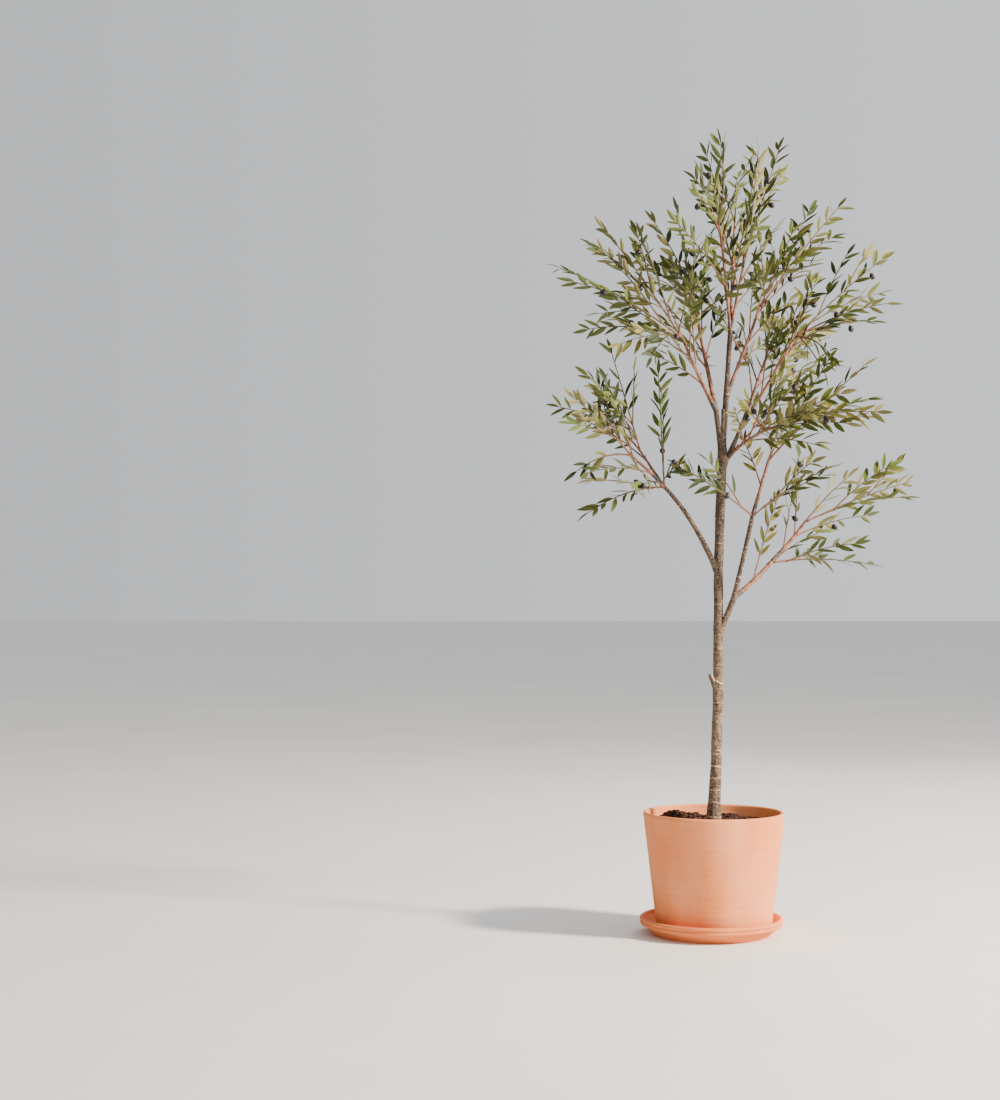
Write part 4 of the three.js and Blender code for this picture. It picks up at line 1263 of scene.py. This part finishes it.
# Lights: name, place, what they aim at, size, power and colour
LIGHTS = [
    ("key", (4.0, -1.8, 2.9), (0, 0, 0.9), 0.7, 880, "fff1e0"),
    ("fill", (-3.0, -3.4, 1.8), (0, 0, 0.9), 2.4, 8, "eef3ff"),
    ("rim", (1.6, 3.2, 2.8), (0, 0, 1.1), 1.8, 60, "ffffff"),
]


def make_stage():
    mesh = bpy.data.meshes.new("floor")
    corners = [(-1, -1), (1, -1), (1, 1), (-1, 1)]
    mesh.from_pydata([(FLOOR_HALF * x, FLOOR_HALF * y, 0) for x, y in corners], [], [(0, 1, 2, 3)])
    finish = Finish("pale_floor", "e4e2de", roughness=0.9, specular=0.2)
    finish.coat("eae8e4", FLOOR_CLOUDS)
    mesh.materials.append(finish.done())
    floor = placed("floor", mesh)


def make_dome():
    """Soft light from all round, dimmer from the left, where the photograph has shade."""
    world = bpy.data.worlds.new("studio")
    world.use_nodes = True
    sky = Nodes(world.node_tree)
    aside = sky.node("SeparateXYZ", {0: sky.node("TexCoord", {}, "Generated")}, "X")
    strength = sky.spread(aside, -1, 1, DOME.right, DOME.left)
    sky.feed(sky.tree.nodes["Background"], {"Color": linear("eef0f3"), "Strength": strength})
    bpy.context.scene.world = world


def make_light(name, place, aim, size, power, code):
    data = bpy.data.lights.new(name, "AREA")
    data.shape = "DISK"
    data.size = size
    data.energy = power
    data.color = linear(code)[:3]
    light = placed(name, data)
    light.location = place
    light.rotation_euler = (Vector(aim) - Vector(place)).to_track_quat("-Z", "Y").to_euler()


def make_camera():
    data = bpy.data.cameras.new("camera")
    data.sensor_width = SENSOR_WIDTH
    data.lens = SENSOR_WIDTH * FOCAL_PIXELS / max(PHOTO_SIZE)
    camera = placed("camera", data)
    camera.location = CAMERA_PLACE
    camera.rotation_euler = (math.radians(90 + CAMERA_PITCH), 0, 0)
    bpy.context.scene.camera = camera


make_camera()
make_stage()
make_dome()
for light in LIGHTS:
    make_light(*light)

pot_clay = clay_material("pot_clay", clay="e8884f", bloom="f0a878", dark="bd6438",
                         stain_at=(-0.126, -0.03, 0.06), stain_reach=0.085)
saucer_clay = clay_material("saucer_clay", clay="e08049", bloom="ea9a63", dark="a8552e",
                            stain_at=(0.1, -0.12, 0.02), stain_reach=0.1)
bark = bark_material()
stem_plastic = stem_material()

keep(make_pot(pot_clay), "terracotta", "terracotta_pot")
keep(make_saucer(saucer_clay), "saucer_clay", "terracotta_saucer")
keep(make_soil(soil_material()), "soil", "potting_soil")

limbs = grow_limbs()
keep(make_trunk(bark), "bark", "trunk")
for i, limb in enumerate(LIMBS):
    growth = (limb, limbs[limb.name], float(limbs[limb.on].radius(limb.at)), SEEDS.limbs + i)
    if limb.sprays:
        keep(make_stem(*growth, stem_plastic), "stem", limb.name)
    else:
        keep(make_bough(*growth, bark), "bark", limb.name)

keep_crown(make_crown(limbs))
